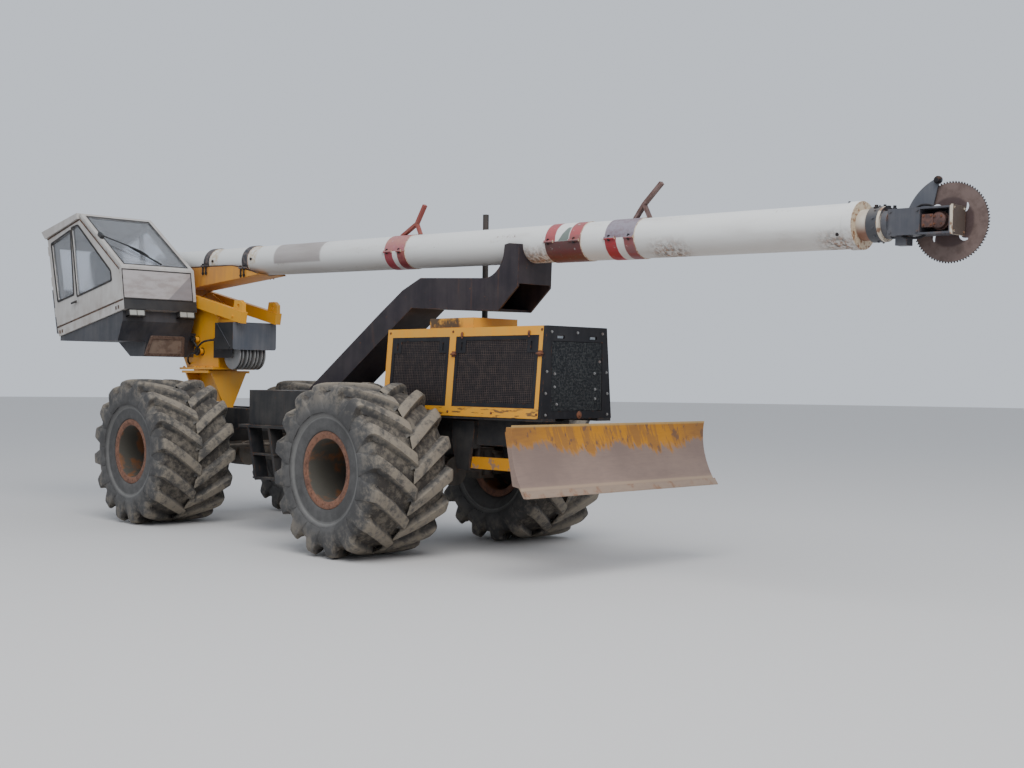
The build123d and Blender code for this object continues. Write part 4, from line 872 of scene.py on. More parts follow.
# Wheels: half profiles are (distance from the middle plane, radius)
tyreForm = {
    "carcass": [(0.332, 0.379), (0.352, 0.382), (0.372, 0.396), (0.408, 0.430), (0.428, 0.462),
                (0.437, 0.490), (0.444, 0.495), (0.446, 0.503), (0.444, 0.511), (0.452, 0.517),
                (0.470, 0.553), (0.480, 0.600), (0.479, 0.650), (0.461, 0.702), (0.425, 0.742),
                (0.340, 0.765), (0.170, 0.774), (0.0, 0.776)],
    "flushBead": [(0.426, 0.3765), (0.436, 0.380), (0.441, 0.388), (0.443, 0.430), (0.4435, 0.470)],
    "seat": 0.3755, "lugs": 16, "turn": -23, "lowest": 92.5, "topWidth": 0.120, "footWidth": 0.172,
    "spine": [(0.4740, 0.552), (0.4860, 0.575), (0.4895, 0.600), (0.4890, 0.640), (0.4880, 0.700),
              (0.4860, 0.752), (0.4790, 0.795), (0.4600, 0.822), (0.4300, 0.8345), (0.3900, 0.8385),
              (0.3000, 0.8395), (0.2000, 0.8395), (0.1000, 0.8395), (0.0100, 0.8390), (-0.0180, 0.8360),
              (-0.0280, 0.8240)],
}
rimForm = {
    "bead": [(0.334, 0.3735), (0.350, 0.3735), (0.350, 0.366), (0.347, 0.350), (0.340, 0.318), (0.332, 0.303),
             (0.320, 0.297), (0.250, 0.295), (0.120, 0.295), (0.0, 0.295)],
    "flushBead": [(0.334, 0.3735), (0.428, 0.3735), (0.432, 0.366), (0.430, 0.340), (0.425, 0.312),
                  (0.420, 0.303), (0.405, 0.297), (0.250, 0.295), (0.120, 0.295), (0.0, 0.295)],
    "dishBack": 0.026, "dish": [(0.292, 0.0), (0.285, 0.010), (0.262, 0.024), (0.225, 0.030), (0.190, 0.028),
                                (0.172, 0.020)],
    "ringNuts": 20, "ringCircle": 0.333, "ringFace": 0.4295,
    "hub": [(0.150, 0.020), (0.150, 0.062), (0.142, 0.070), (0.098, 0.070), (0.095, 0.074), (0.095, 0.094),
            (0.088, 0.100), (0.030, 0.100), (0.028, 0.106), (0.0, 0.106)],
    "nuts": 10, "nutCircle": 0.205, "nutSize": 0.017, "nutHeight": 0.018,
}


def wheelPoint(hub, side, away, radius, angle):
    return hub + Vector((radius * cos(angle), side * away, radius * sin(angle)))


def lug(form, look, hub, side, start):  # one bar from its nose on the sidewall to just past the middle
    spine, loops = look["spine"], []
    for index, (away, radius) in enumerate(spine):
        before, after = spine[max(index - 1, 0)], spine[min(index + 1, len(spine) - 1)]
        run = Vector((after[0] - before[0], after[1] - before[1])).normalized()
        outwards = Vector((run.y, -run.x))
        share = min(max((0.440 - away) / 0.468, 0), 1)
        nose = min(max((0.800 - radius) / 0.215, 0), 1) if away > 0.47 else 0
        top = look["topWidth"] / 2 * (1 + 0.80 * nose ** 1.3)
        foot = look["footWidth"] / 2 * (1 + 0.42 * nose)
        deep = 0.076 + 0.010 * (away > 0.40) - 0.062 * nose ** 0.7
        angle = start + radians(look["turn"]) * share ** 1.08
        loop = []
        for across, down in ((-foot, 1), (-(foot + top) / 2, 0.55), (-top, 0.14), (-top * 0.93, 0.035),
                             (-top * 0.55, 0.0), (top * 0.55, 0.0), (top * 0.93, 0.035), (top, 0.14),
                             ((foot + top) / 2, 0.55), (foot, 1)):
            y = away - outwards.x * deep * down
            r = min(radius - outwards.y * deep * down, 0.8398)
            loop.append(wheelPoint(hub, side, y, r, angle + across / r))
        loops.append(loop)
    form.loft(loops)


def tyre(corner, look):
    hub = wheelHubs[corner]
    outwards = -1 if corner.endswith("right") else 1
    carcass = Form()
    half = look["carcass"]
    outer = look["flushBead"] + half[6:]
    seat = [(-outwards * 0.332, look["seat"]), (outwards * 0.426, look["seat"])]
    profile = [(outwards * y, r) for y, r in outer] + [(-outwards * y, r) for y, r in half[-2::-1]] + seat
    carcass.lathe(hub, (0, 1, 0), profile, steps=112, closed=True)
    pair = Form()
    for side, stagger in ((1, 0), (-1, 180 / look["lugs"])):
        lug(pair, look, hub, side, -radians(look["lowest"] + stagger))
    bars = repeatAround.grow(f"{corner}_lugs", pair.mesh("lugPair"), "tyreRubber", Count=look["lugs"],
                             Centre=hub, Axle=(0, 1, 0))
    whole = joined(f"{corner}_lugged_tyre", [carcass.mesh("carcass"), bars], smooth=True)
    place(f"{corner}_lugged_tyre", whole, f"{corner}_wheel", "tyre", replaced=[f"{corner}_tyre"])


def rim(corner, look):
    hub, side = wheelHubs[corner], -1 if corner.endswith("right") else 1
    form = Form()
    bead = look["bead"]
    form.lathe(hub, (0, side, 0), look["flushBead"] + [(-y, r) for y, r in bead[-2::-1]], steps=96,
               closed=True)
    back, front = -look["dishBack"] - 0.025, -look["dishBack"]
    face = [(front + y, r) for r, y in look["dish"] + look["hub"]]
    form.lathe(hub, (0, side, 0), [(back, 0.0), (back, 0.3275), (front - 0.004, 0.3275)] + face, steps=72)
    fixings = []
    for away, radius, angles, size, height in (
            (front + 0.031, look["nutCircle"], turns(look["nuts"]), look["nutSize"], look["nutHeight"]),
            (look["ringFace"], look["ringCircle"], turns(look["ringNuts"], 0.5), 0.007, 0.005)):
        spots = [(wheelPoint(hub, side, away, radius, angle), (0, side, 0)) for angle in angles]
        fixings.append(bolts("nuts", spots, size, height, "rimRust"))
    whole = joined(f"{corner}_pressed_rim", [form.mesh("rim")] + fixings, smooth=True)
    place(f"{corner}_pressed_rim", whole, f"{corner}_wheel", "rim_rust", replaced=[f"{corner}_rim"])


for corner in corners:
    tyre(corner, tyreForm)
    rim(corner, rimForm)
print("wheels ready")


def planeFrame(origin, across, up):
    x, y = Vector(across).normalized(), Vector(up).normalized()
    return Matrix.Translation(Vector(origin)) @ Matrix((x, y, x.cross(y))).transposed().to_4x4()


def cutPlate(name, outline, openings, thick, frame):  # a flat plate with openings, centred on its plane
    curve = bpy.data.curves.new(name, "CURVE")
    curve.dimensions = "2D"
    curve.fill_mode = "BOTH"
    curve.extrude = thick / 2
    for ring in [outline] + list(openings):
        spline = curve.splines.new("POLY")
        spline.points.add(len(ring) - 1)
        for point, (x, y) in zip(spline.points, ring):
            point.co = (x, y, 0, 1)
        spline.use_cyclic_u = True
    flat = bpy.data.objects.new(name, curve)
    drawn = bpy.data.meshes.new_from_object(flat)
    bpy.data.objects.remove(flat)
    drawn.transform(frame)
    form = Form()
    form.build.from_mesh(drawn)
    return form.mesh(name)


def grown(outline, reach):  # the outline moved outwards by this much
    area = sum(a[0] * b[1] - b[0] * a[1] for a, b in zip(outline, outline[1:] + outline[:1]))
    sense, moved = (1 if area > 0 else -1), []
    for index, here in enumerate(outline):
        before, after = Vector(outline[index - 1]), Vector(outline[(index + 1) % len(outline)])
        first, second = (Vector(here) - before).normalized(), (after - Vector(here)).normalized()
        sides = [Vector((run.y, -run.x)) * sense for run in (first, second)]
        moved.append(tuple(Vector(here) + (sides[0] + sides[1]) * reach / (1 + sides[0].dot(sides[1]))))
    return moved


def rounded(outline, radius, steps=5):  # the outline with its corners softened
    soft = []
    for index, here in enumerate(outline):
        before, after = Vector(outline[index - 1]), Vector(outline[(index + 1) % len(outline)])
        corner = Vector(here)
        start = corner + (before - corner).normalized() * radius
        end = corner + (after - corner).normalized() * radius
        for step in range(steps + 1):
            t = step / steps
            soft.append(tuple(start * (1 - t) ** 2 + corner * 2 * t * (1 - t) + end * t ** 2))
    return soft


def boomPoint(along, side, up):  # along: ahead of the front axle, up: above the boom's axis
    drop = boomLook["drop"]
    ahead = frontAxleX + along * cos(drop) + up * sin(drop)
    return Vector((ahead, side, boomLook["axisHeight"] - along * sin(drop) + up * cos(drop)))


boomAhead = boomPoint(1, 0, 0) - boomPoint(0, 0, 0)
boomUp = boomPoint(0, 0, 1) - boomPoint(0, 0, 0)


def boomRing(centre, radius, turn, side):  # a point on a circle round the saw's axle, this far to the side
    return centre + boomAhead * radius * cos(turn) + boomUp * radius * sin(turn) + Vector((0, side, 0))


# Saw: a toothed disc with four curved slots round its collar
sawForm = {"along": 5.489, "side": 0.120, "radius": 0.305, "teeth": 80, "toothDepth": 0.014, "thick": 0.006,
           "bore": 0.025,
           "slotRadii": (0.112, 0.188), "slotWidth": 0.020, "slotSweep": 6, "slotBow": 9, "firstSlot": 45,
           "collar": [(0.0032, 0.026), (0.0032, 0.062), (0.0080, 0.062), (0.0100, 0.058), (0.0100, 0.026)],
           "bolts": 6, "boltCircle": 0.046}


def sawDisc(look):
    rim = []
    for tooth in range(look["teeth"]):
        for share, radius in ((0.0, look["radius"] - look["toothDepth"]),
                              (0.30, look["radius"] - look["toothDepth"] * 0.8), (0.66, look["radius"]),
                              (0.84, look["radius"] - 0.001)):
            turn = 2 * pi * (tooth + share) / look["teeth"]
            rim.append((radius * cos(turn), radius * sin(turn)))
    openings = [circle(look["bore"], 24)]
    for slot in range(4):
        middleLine = []
        for step in range(7):
            share = step / 6
            radius = look["slotRadii"][0] + (look["slotRadii"][1] - look["slotRadii"][0]) * share
            turn = radians(look["firstSlot"] + slot * 90 + look["slotSweep"] * (share - 0.5)
                           - look["slotBow"] * (1 - (2 * share - 1) ** 2))
            middleLine.append(Vector((radius * cos(turn), radius * sin(turn))))
        left, right = [], []
        for index, point in enumerate(middleLine):
            run = (middleLine[min(index + 1, 6)] - middleLine[max(index - 1, 0)]).normalized()
            half = look["slotWidth"] / 2 * (0.55 if index in (0, 6) else 1)
            left.append(tuple(point + Vector((-run.y, run.x)) * half))
            right.insert(0, tuple(point - Vector((-run.y, run.x)) * half))
        openings.append(left + right)
    centre = boomPoint(look["along"], look["side"], 0)
    disc = cutPlate("disc", rim, openings, look["thick"], planeFrame(centre, boomAhead, boomUp))
    collar = Form()
    collar.lathe(centre, (0, 1, 0), look["collar"], steps=48, closed=True)
    spots = [(boomRing(centre, look["boltCircle"], turn, 0.010), (0, 1, 0)) for turn in turns(look["bolts"])]
    nuts = bolts("collarBolts", spots, 0.007, 0.006, "sawSteel")
    place("toothed_saw_disc", joined("toothed_saw_disc", [disc, collar.mesh("collar"), nuts], smooth=True),
          "saw", "saw_rust", replaced=["saw_blade"])


sawDisc(sawForm)

# Head: bolt rings on the collar, hose fittings over it, the rusty motor in its cage, the guard's boss
# Points are ahead of the front axle, to the side and above the boom's axis
# A fitting is its place ahead and to the side, its radius and its height
headForm = {
    "collarBolts": 12, "collarRadius": 0.137, "collarAlong": 4.990, "collarEnd": 5.02, "collarTop": 0.1325,
    "neckTop": 0.112,
    "fittings": [(4.975, -0.06, 0.020, 0.030), (5.000, 0.02, 0.016, 0.026), (5.068, -0.045, 0.028, 0.034),
                 (5.075, 0.035, 0.018, 0.040)],
    "motor": [(-0.080, 0.0), (-0.080, 0.062), (0.020, 0.062), (0.022, 0.070), (0.036, 0.070), (0.040, 0.062),
              (0.070, 0.058), (0.076, 0.050), (0.076, 0.0)],
    "port": ((5.362, 5.452), (-0.080, 0.060), (-0.048, 0.048)),
    "portBolts": ((5.378, 5.437), (0.034, -0.034)), "portFace": -0.081, "motorFace": -0.077, "motorBolts": 4,
    "motorBoltCircle": 0.038,
    "boxSide": 0.096, "boxBolts": ((5.115, 5.335), (-0.078, 0.078)),
    "endFace": 5.6145, "endBolts": ((-0.075, 0.075), (-0.085, 0.085)), "boltSize": 0.008, "lineRadius": 0.009,
    "lines": [[(5.30, -0.045, 0.101), (5.34, -0.045, 0.120), (5.40, -0.04, 0.118), (5.43, -0.03, 0.101)],
              [(5.20, -0.060, -0.104), (5.26, -0.066, -0.122), (5.34, -0.06, -0.120), (5.38, -0.05, -0.101)]],
    "bossPlace": (5.389, 0.0955, 0.318),
    "boss": [(0, 0.0), (0, 0.029), (0.012, 0.029), (0.014, 0.024), (0.026, 0.022), (0.028, 0.018),
             (0.028, 0.0)],
}


def collarDetails(look):
    centre, spots = boomPoint(look["collarAlong"], 0, 0), []
    for turn in turns(look["collarBolts"], 0.5):
        out = Vector((0, cos(turn), 0)) + boomUp * sin(turn)
        spots.append((centre + out * look["collarRadius"], out))
    placeBolts("collar_bolts", spots, look["boltSize"], look["boltSize"], "inner_boom", "head_slate")
    fittings = Form()
    for along, side, radius, height in look["fittings"]:
        reach = look["collarTop"] if along < look["collarEnd"] else look["neckTop"]
        foot = (reach ** 2 - side ** 2) ** 0.5 - 0.006
        profile = [(0, 0.0), (0, radius), (height * 0.55, radius), (height * 0.6, radius * 0.7),
                   (height, radius * 0.7), (height + 0.002, radius * 0.6), (height + 0.002, 0.0)]
        fittings.lathe(boomPoint(along, side, foot), boomUp, profile, steps=20)
    placeForm("hose_fittings", fittings, "inner_boom", "head_slate", "meshBlack")


def headDetails(look):
    motor = Form()
    axle = boomPoint(sawForm["along"], 0, 0)
    motor.lathe(axle, (0, -1, 0), look["motor"], steps=40)
    ends, sides, levels = look["port"]
    port = [boomPoint(along, side, up) for along in ends for side in sides for up in levels]
    motor.loft([[port[index] for index in (0, 2, 3, 1)], [port[index] for index in (4, 6, 7, 5)]])
    placeForm("saw_motor", motor, "head", "head_slate", "motorRust")
    ends, levels = look["portBolts"]
    spots = [(boomPoint(along, look["portFace"], up), (0, -1, 0)) for along in ends for up in levels]
    for turn in turns(look["motorBolts"], 0.5):
        spots.append((boomRing(axle, look["motorBoltCircle"], turn, look["motorFace"]), (0, -1, 0)))
    placeBolts("motor_bolts", spots, 0.006, 0.006, "head", "head_slate", "latchRust")
    ends, levels = look["boxBolts"]
    seams = [(boomPoint(along, side * look["boxSide"], up), (0, side, 0)) for side in (-1, 1)
             for along in ends for up in levels]
    sides, levels = look["endBolts"]
    faces = [(boomPoint(look["endFace"], side, up), boomAhead) for side in sides for up in levels]
    placeBolts("head_bolts", seams + faces, look["boltSize"], look["boltSize"], "head", "head_slate")
    paths = [[boomPoint(*point) for point in path] for path in look["lines"]]
    place("motor_lines", line("motor_lines", paths, look["lineRadius"], "meshBlack"), "head", "head_slate",
          "meshBlack")
    boss = Form()
    boss.lathe(boomPoint(*look["bossPlace"]), (0, -1, 0), look["boss"], steps=28)
    placeForm("guard_boss", boss, "head", "guard_slate", "meshBlack")


collarDetails(headForm)
headDetails(headForm)
print("saw head ready")

# Hood: woven wire in the doors, hinges, latches and bolts
hoodForm = {
    "bottom": 1.366, "top": 2.222, "halfBottom": 0.480, "halfTop": 0.408,
    "doors": [(0.049, 0.936), (1.029, 2.169)], "doorLow": 1.458, "doorHigh": 2.137, "rim": 0.042,
    "corner": (0.105, 0.120),
    "netDepth": 0.006, "pitches": (0.0165, 0.026), "wire": 0.0032,
    "hinges": [1.118, 2.040], "hingeSpan": (2.118, 2.176), "latches": [(0.976, 0.075), (2.158, 0.085)],
    "latchHigh": 1.965,
    "boltRows": [(2.185, (0.01, 0.98, 2.20)), (1.405, (0.01, 0.98, 1.6, 2.20))],
}


def hoodPoint(side, x, z, out):
    lean = (hoodForm["halfBottom"] - hoodForm["halfTop"]) / (hoodForm["top"] - hoodForm["bottom"])
    return Vector((x, side * (hoodForm["halfBottom"] - (z - hoodForm["bottom"]) * lean + out), z))


def wireNet(name, corner, right, up, pitches, wire, finish):  # straight wires both ways on a slanting face
    nets = []
    out = right.cross(up).normalized()
    for run, step, pitch in ((right, up, pitches[0]), (up, right, pitches[1])):
        count = int(step.length / pitch)
        away = step.normalized()
        start = corner + away * (step.length - (count - 1) * pitch) / 2
        square = [(away * a + out * b) * wire / 2 for a, b in ((-1, -1), (1, -1), (1, 1), (-1, 1))]
        one = Form()
        one.loft([[end + point for point in square] for end in (start, start + run)])
        nets.append(repeatAlong.grow(name, one.mesh("wire"), finish, Count=count, Step=away * pitch))
    return joined(name, nets)


def doorNets(look):
    nets, low, high = [], look["doorLow"] + look["rim"], look["doorHigh"] - look["rim"]
    shoulder = high - look["corner"][1]
    for side in (-1, 1):
        for start, end in look["doors"]:
            left, right = start + look["rim"], end - look["rim"]
            for rear, front, foot, top in ((left, right, low, shoulder),
                                           (left + look["corner"][0], right - look["corner"][0], shoulder,
                                            high)):
                corner, across, above = (hoodPoint(side, x, z, -look["netDepth"])
                                         for x, z in ((rear, foot), (front, foot), (rear, top)))
                nets.append(wireNet("net", corner, across - corner, above - corner, look["pitches"],
                                    look["wire"], "netBrown"))
    place("door_wire_net", joined("door_wire_net", nets), "chassis", "mesh_black", "netBrown")


def hoodFittings(look):
    form = Form()
    hinge = [(0, 0), (0, 0.009), (0.020, 0.009), (0.021, 0.014), (0.050, 0.014), (0.052, 0.009),
             (0.060, 0.009), (0.060, 0)]
    barrel = [(0, 0), (0, 0.008), (0.3, 0.008), (0.32, 0.016), (0.75, 0.016), (0.77, 0.009), (1, 0.009),
              (1, 0)]
    for side in (-1, 1):
        for x in look["hinges"]:
            foot, top = (hoodPoint(side, x, z, out) for z, out in zip(look["hingeSpan"], (0.005, 0.007)))
            form.lathe(foot, top - foot, hinge, steps=16)
        for x, width in look["latches"]:
            at = hoodPoint(side, x, look["latchHigh"], 0.012)
            form.lathe(at, (1, 0, 0), [(width * share, radius) for share, radius in barrel], steps=16)
            reach = Vector((width * 0.35, 0.004, 0.008))
            for away in (-0.020, 0.020):
                centre = hoodPoint(side, x + width / 2, look["latchHigh"] + away, 0.003)
                form.block(centre - reach, centre + reach, 0.002)
    placeForm("hood_hinges_and_latches", form, "chassis", "exhaust_rust", "latchRust")
    spots = [(hoodPoint(side, x, z, 0), (0, side, 0.08)) for side in (-1, 1) for z, row in look["boltRows"]
             for x in row]
    placeBolts("hood_frame_bolts", spots, 0.009, 0.007, "chassis", "hood_yellow", "latchRust")


# Front cover: a fine net over a near-black sheet in its sunk middle, painted shade for the dark inside behind
# the net, with two pale slots, bolts and a knob
coverForm = {
    "front": 2.260, "sunk": 0.010, "half": 0.346, "low": 1.436, "high": 2.082, "pitch": 0.0135,
    "wire": 0.0032,
    "slots": (-0.220, 0.220), "slotHalf": 0.048, "slotSpan": (2.109, 2.132), "slotDepth": (0.030, 0.024),
    "boltRows": [(2.165, (-0.345, 0, 0.345)), (1.80, (-0.405, 0.405)), (1.60, (-0.42, 0.42)),
                 (1.402, (-0.42, 0.42))],
    "innerBolts": [(1.78, -0.30), (1.79, 0.24), (1.66, -0.30), (1.64, 0.25), (1.55, 0.25), (1.90, 0.31),
                   (1.50, -0.27)],
    "knobPlace": (0.03, 1.400),
    "knob": [(0, 0), (0, 0.034), (0.003, 0.036), (0.006, 0.030), (0.010, 0.016), (0.016, 0.014), (0.018, 0)],
}


def coverDetails(look):
    front, half, low, high = look["front"], look["half"], look["low"], look["high"]
    inset = front - look["sunk"]
    # a near-black sheet just behind the net: painted shade for the dark inside
    back = Form()
    back.block((inset + 0.0005, -half + 0.001, low + 0.001), (inset + 0.003, half - 0.001, high - 0.001))
    placeForm("cover_shade_sheet", back, "chassis", "mesh_black", "coverShadeSheet", smooth=False)
    corner = Vector((inset + 0.0055, -half + 0.004, low + 0.004))
    net = wireNet("cover_wire_net", corner, Vector((0, 2 * half - 0.008, 0)),
                  Vector((0, 0, high - low - 0.008)), (look["pitch"], look["pitch"]), look["wire"],
                  "coverNet")
    place("cover_wire_net", net, "chassis", "mesh_black", "coverNet")
    slots = Form()
    for y in look["slots"]:
        near, far = ((front - depth, y + reach, z) for depth, reach, z in
                     zip(look["slotDepth"], (-look["slotHalf"], look["slotHalf"]), look["slotSpan"]))
        slots.block(near, far)
    placeForm("cover_slot_light", slots, "chassis", "mesh_black", "slotPale", smooth=False)
    spots = [((front, y, z), (1, 0, 0)) for z, row in look["boltRows"] for y in row]
    spots += [((inset + 0.007, y, z), (1, 0, 0)) for z, y in look["innerBolts"]]
    placeBolts("cover_bolts", spots, 0.0095, 0.008, "chassis", "mesh_black", "boltBright")
    knob = Form()
    knob.lathe((front, *look["knobPlace"]), (1, 0, 0), look["knob"], steps=24)
    placeForm("cover_knob", knob, "chassis", "exhaust_rust", "latchRust")


exhaustForm = {"foot": (0.622, 0.34, 2.222), "collar": [(0.0005, 0.036), (0.0005, 0.060), (0.012, 0.058),
                                                        (0.016, 0.045), (0.050, 0.040), (0.052, 0.0325),
                                                        (0.0005, 0.0325)]}


def exhaustCollar(look):
    collar = Form()
    collar.lathe(look["foot"], (0, 0, 1), look["collar"], steps=32)
    placeForm("exhaust_collar", collar, "chassis", "exhaust_rust")


doorNets(hoodForm)
hoodFittings(hoodForm)
coverDetails(coverForm)
exhaustCollar(exhaustForm)
print("hood ready")

# Turret: smooth hose reels, the guard's front plate with its rounded foot, fittings and their clamped lines
turretForm = {
    "reelCentre": (-3.360, 1.990), "reels": [-0.156, -0.052, 0.052, 0.156], "flange": 0.185, "core": 0.140,
    "axle": [(-0.204, 0), (-0.204, 0.025), (0.204, 0.025), (0.204, 0)],
    "wound": [(-0.008, 0.1465), (0.008, 0.1465), (0.0, 0.1605)], "hoseRadius": 0.0076,
    "guardFront": -3.155, "guardHalf": 0.305, "guardLow": 2.050, "guardTall": 0.335, "guardRound": 0.035,
    "strut": [(-3.545, 2.345), (-3.515, 2.372), (-3.215, 2.085), (-3.245, 2.058)],
    "beamSides": (-0.2655, -0.2055), "fittings": [(-4.015, 2.030, 0.050), (-4.115, 2.180, 0.042)],
    "lineRadius": 0.0125,
    "lines": [[(-4.115, -0.300, 2.170), (-4.050, -0.325, 2.165), (-3.985, -0.320, 2.110),
               (-3.975, -0.300, 2.050), (-4.000, -0.290, 2.020)],
              [(-4.030, -0.300, 2.010), (-4.110, -0.315, 2.000), (-4.200, -0.300, 1.950),
               (-4.280, -0.250, 1.900), (-4.330, -0.190, 1.870)],
              [(-4.000, -0.305, 2.040), (-3.930, -0.318, 2.090), (-3.830, -0.300, 2.150),
               (-3.700, -0.250, 2.170), (-3.560, -0.220, 2.160)],
              [(-4.115, -0.300, 2.190), (-4.180, -0.300, 2.240), (-4.210, -0.260, 2.330),
               (-4.215, -0.235, 2.420)]],
    "pins": [(-4.41, 0.2855, 2.63), (-3.20, 0.286, 2.452)], "footBolts": (-4.36, -4.10, -3.90, -3.70),
    "footSide": 0.262, "ringBolts": 18, "ringMiddle": -4.035, "ringCircle": 0.235, "flangeTop": 1.8305,
}


def hoseReels(look):
    x, z = look["reelCentre"]
    flange, core = look["flange"], look["core"]
    profile = [(-0.028, 0.026), (-0.028, flange - 0.004), (-0.024, flange), (-0.018, flange),
               (-0.016, flange - 0.004), (-0.016, core), (0.016, core), (0.016, flange - 0.004),
               (0.018, flange), (0.024, flange), (0.028, flange - 0.004), (0.028, 0.026)]
    reels, hose = Form(), Form()
    for y in look["reels"]:
        reels.lathe((x, y, z), (0, 1, 0), profile, steps=80, closed=True)
        for away, radius in look["wound"]:
            hose.lathe((x, y, z), (0, 1, 0), circle(look["hoseRadius"], 10, (away, radius)), steps=64,
                       closed=True)
    reels.lathe((x, 0, z), (0, 1, 0), look["axle"], steps=32)
    placeForm("smooth_hose_reels", reels, "turret", "drum_grey", replaced=["hose_drums"])
    placeForm("wound_hose", hose, "turret", "cylinder_black", "hoseBlack")


def guardTrim(look):
    half, tall = look["guardHalf"] + 0.006, look["guardTall"]
    outline = rounded([(-half, 0), (half, 0), (half, tall), (-half, tall)], look["guardRound"])
    at = planeFrame((look["guardFront"] + 0.0035, 0, look["guardLow"] - 0.003), (0, 1, 0), (0, 0, 1))
    place("guard_front_plate", cutPlate("guard_front_plate", outline, [], 0.006, at), "turret", "guard_slate")
    strut = Form()
    strut.plate([(x, -look["guardHalf"] - 0.0005, z) for x, z in look["strut"]], (0, -0.005, 0))
    placeForm("guard_strut", strut, "turret", "guard_slate", smooth=False)


def turretFittings(look):
    outer, inner = look["beamSides"]
    caps = Form()
    for x, z, radius in look["fittings"]:
        cap = [(-0.002, 0.039), (-0.002, radius), (0.010, radius + 0.003), (0.022, radius + 0.003),
               (0.030, radius - 0.004), (0.034, radius * 0.5), (0.046, radius * 0.45), (0.048, 0.0)]
        caps.lathe((x, outer, z), (0, -1, 0), cap, steps=30)
        caps.lathe((x, inner, z), (0, -1, 0), [(0, 0.039), (0, radius), (0.006, radius), (0.006, 0.039)],
                   steps=30, closed=True)
    placeForm("turret_fittings", caps, "turret", "cylinder_black", "hoseBlack")
    lines = line("turret_lines", look["lines"], look["lineRadius"], "hoseBlack")
    place("turret_lines", lines, "turret", "cylinder_black", "hoseBlack")


def turretBolts(look):
    spots = []
    for side in (-1, 1):
        spots += [((x, side * y, z), (0, side, 0)) for x, y, z in look["pins"]]
        spots += [((x, side * look["footSide"], look["flangeTop"]), (0, 0, 1)) for x in look["footBolts"]]
    spots += [((x, y, look["flangeTop"]), (0, 0, 1)) for x, y in circle(look["ringCircle"], look["ringBolts"],
                                                                        (look["ringMiddle"], 0))]
    placeBolts("turret_bolts", spots, 0.014, 0.013, "turret", "turret_yellow")


hoseReels(turretForm)
guardTrim(turretForm)
turretFittings(turretForm)
turretBolts(turretForm)
print("turret ready")

# Blade: a hollow mouldboard with its box along the top, ribs behind it, two push arms and the cylinders' ears
bladeForm = {"top": 1.340, "edge": 0.734, "half": 1.300, "wall": 0.020, "lean": 0.155, "hollow": 0.070,
             "middle": (2.8225, 1.037),
             "ribs": [-1.290, -0.790, 0.770, 1.290], "armY": 0.335, "armWidth": 0.070,
             "pivot": (1.145, 0.915), "eye": (2.520, 1.120),
             "ears": [(0.140, 0.160), (0.220, 0.240)], "steps": 22,
             "pinRadius": 0.0255, "ribHalf": 0.0098, "boxSpan": (1.262, 1.322), "boxDeep": 0.060,
             "barRise": 0.0066, "barThick": 0.019, "barFront": 2.9188}


def bladeFace(look, z, behind=0.0):  # how far ahead the face is at this height
    x, centre = look["middle"]
    half = (look["top"] - look["edge"]) / 2
    hollow = look["hollow"] * (1 - ((z - centre) / half) ** 2)
    return x + (centre - z) / (2 * half) * look["lean"] - hollow - behind


def dozerBlade(look):
    wall, low, high = look["wall"], look["edge"], look["top"]
    heights = [low + (high - low) * step / look["steps"] for step in range(look["steps"] + 1)]
    section = [(bladeFace(look, z), z) for z in heights] + [(bladeFace(look, z, wall), z)
                                                            for z in reversed(heights)]
    form = Form()
    form.loft([[(x, y, z) for x, z in section] for y in (-look["half"], look["half"])])
    foot, head = look["boxSpan"]
    box = [(bladeFace(look, z, wall + away), z) for z, away in
           ((head, -0.001), (head, look["boxDeep"]), (foot, look["boxDeep"]), (foot, -0.001))]
    form.loft([[(x, y, z) for x, z in box] for y in (-look["half"] + 0.001, look["half"] - 0.001)])
    curve = [(bladeFace(look, z, wall - 0.002), z) for z in heights if 0.80 <= z <= 1.29]
    rib = curve + [(bladeFace(look, 1.280, wall + 0.068), 1.280),
                   (bladeFace(look, 0.830, wall + 0.073), 0.830)]
    for y in look["ribs"]:
        form.loft([[(x, y + away, z) for x, z in rib] for away in (-look["ribHalf"], look["ribHalf"])])
    for side in (-1, 1):
        arm = [(1.090, 0.860), (1.090, 0.970), (1.245, 0.970), (bladeFace(look, 0.985, wall), 0.985),
               (bladeFace(look, 0.860, wall), 0.860), (1.245, 0.860)]
        hole = circle(look["pinRadius"], 24, look["pivot"])
        flat = planeFrame((0, side * look["armY"], 0), (1, 0, 0), (0, 0, 1))
        form.build.from_mesh(cutPlate("arm", rounded(arm, 0.012), [hole], look["armWidth"], flat))
        for near, far in look["ears"]:
            ear = [(2.475, 1.160), (bladeFace(look, 1.20, wall), 1.20), (bladeFace(look, 1.01, wall), 1.01),
                   (2.475, 1.080)]
            form.loft([[(x, side * y, z) for x, z in ear] for y in (near, far)])
        form.lathe((look["eye"][0], side * 0.136, look["eye"][1]), (0, side, 0),
                   [(0, 0), (0, 0.024), (0.108, 0.024), (0.108, 0)], steps=28)
    place("hollow_mouldboard", form.mesh("hollow_mouldboard", smooth=True), "blade", "blade_steel",
          replaced=["dozer_blade"])


def cuttingEdge(look):  # a bar laid on the face's lower end
    outer, inner = [], []
    for step in range(9):
        z = look["edge"] + look["barRise"] * step
        slope = Vector((bladeFace(look, z + 0.001) - bladeFace(look, z), 0.001)).normalized()
        x = bladeFace(look, z) + 0.0004
        inner.append((x, z))
        outer.append((min(x + slope.y * look["barThick"], look["barFront"]), z - slope.x * look["barThick"]))
    outline = inner + outer[::-1] + [(look["barFront"], look["edge"])]
    form = Form()
    form.loft([[(x, y, z) for x, z in outline] for y in (-look["half"], look["half"])])
    place("worn_cutting_edge", form.mesh("worn_cutting_edge", smooth=True), "blade", "edge_steel",
          replaced=["cutting_edge"])


dozerBlade(bladeForm)
cuttingEdge(bladeForm)
print("blade ready")

